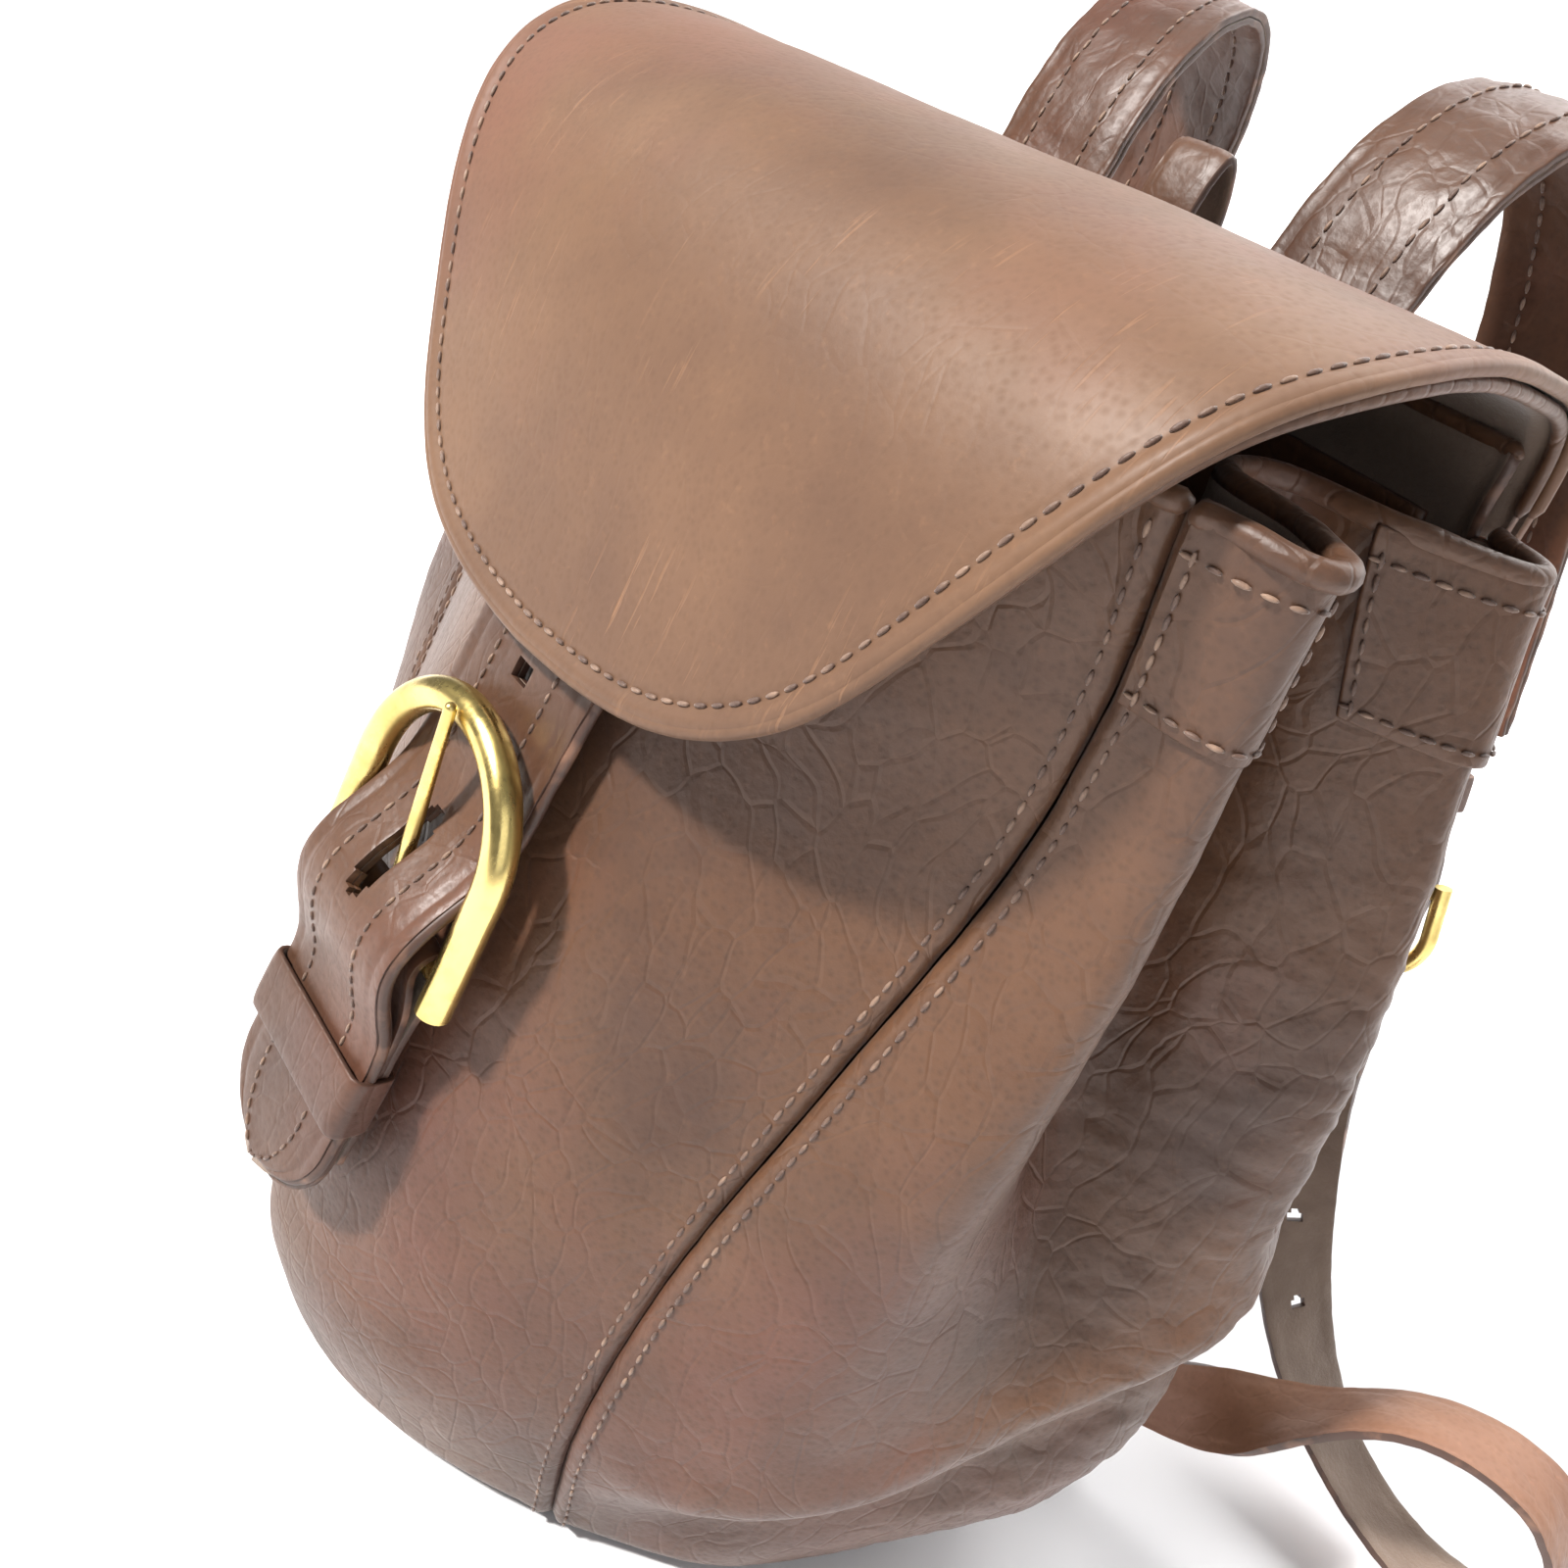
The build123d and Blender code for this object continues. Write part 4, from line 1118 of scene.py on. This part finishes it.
# %% Stage
def floor():
    """A pale floor with a soft sweep far behind the bag."""
    size, back_y, rise = 7.0, 1.4, 6.0
    rows = [(-size, 0.0), (back_y, 0.0)]
    rows += [(back_y + 0.6 * math.sin(a), 0.6 * (1 - math.cos(a))) for a in np.linspace(0.2, math.pi / 2, 9)]
    rows.append((back_y + 0.6, rise))
    grid = np.array([[(x, y, z - 0.0002) for x in (-size, size)] for y, z in rows])
    shade = Shade("pale floor")
    colour = shade.mix(shade.noise(3.0) * 0.15, (0.86, 0.86, 0.87), (0.80, 0.80, 0.82))
    paint = shade.set(Base_Color=colour, Roughness=0.85)
    piece = grid_piece("floor", grid, [paint], 0.0)


def lamp(name, place, target, power, size, colour=(1, 1, 1)):
    """An area light that looks at a point."""
    data = bpy.data.lights.new(name, "AREA")
    data.energy = power
    data.size = size
    data.color = colour
    light = bpy.data.objects.new(name, data)
    light.location = place
    light.rotation_euler = (Vector(target) - Vector(place)).to_track_quat("-Z", "Y").to_euler()
    bpy.context.collection.objects.link(light)


floor()
aim = (0.0, 0.0, 0.16)
lamp("key", (-1.05, -2.45, 3.0), aim, 330.0, 0.36, (1.0, 0.97, 0.94))
lamp("fill", (1.6, -0.7, 1.0), aim, 8.0, 1.4, (0.93, 0.95, 1.0))
lamp("rim", (0.5, 1.0, 1.1), aim, 5.0, 0.9)
lamp("backdrop wash", (-0.4, 1.5, 2.6), (-0.6, 2.6, 0.0), 70.0, 1.6)
world = bpy.data.worlds.new("room")
world.use_nodes = True
world.node_tree.nodes["Background"].inputs[0].default_value = (1.0, 1.0, 1.0, 1)
world.node_tree.nodes["Background"].inputs[1].default_value = 0.17
bpy.context.scene.world = world
bpy.context.scene.view_settings.view_transform = "Standard"

# %% Camera
azimuth, elevation, roll = math.radians(41.7), math.radians(29.9), math.radians(20.5)
level_reach = math.cos(elevation)
back_dir = Vector((math.sin(azimuth) * level_reach, -math.cos(azimuth) * level_reach, math.sin(elevation)))
right_dir = Vector((math.cos(azimuth), math.sin(azimuth), 0))
up_dir = back_dir.cross(right_dir)
right_rolled = right_dir * math.cos(roll) + up_dir * math.sin(roll)
up_rolled = up_dir * math.cos(roll) - right_dir * math.sin(roll)
turn = Matrix((right_rolled, up_rolled, back_dir)).transposed().to_4x4()
data = bpy.data.cameras.new("camera")
data.lens = 30.74
data.sensor_width = 36.0
data.clip_start = 0.01
camera = bpy.data.objects.new("camera", data)
camera.matrix_world = Matrix.Translation(Vector((179.5, -205.4, 303.9)) * MM) @ turn
bpy.context.collection.objects.link(camera)
bpy.context.scene.camera = camera
print("camera at", [round(v, 3) for v in camera.location])
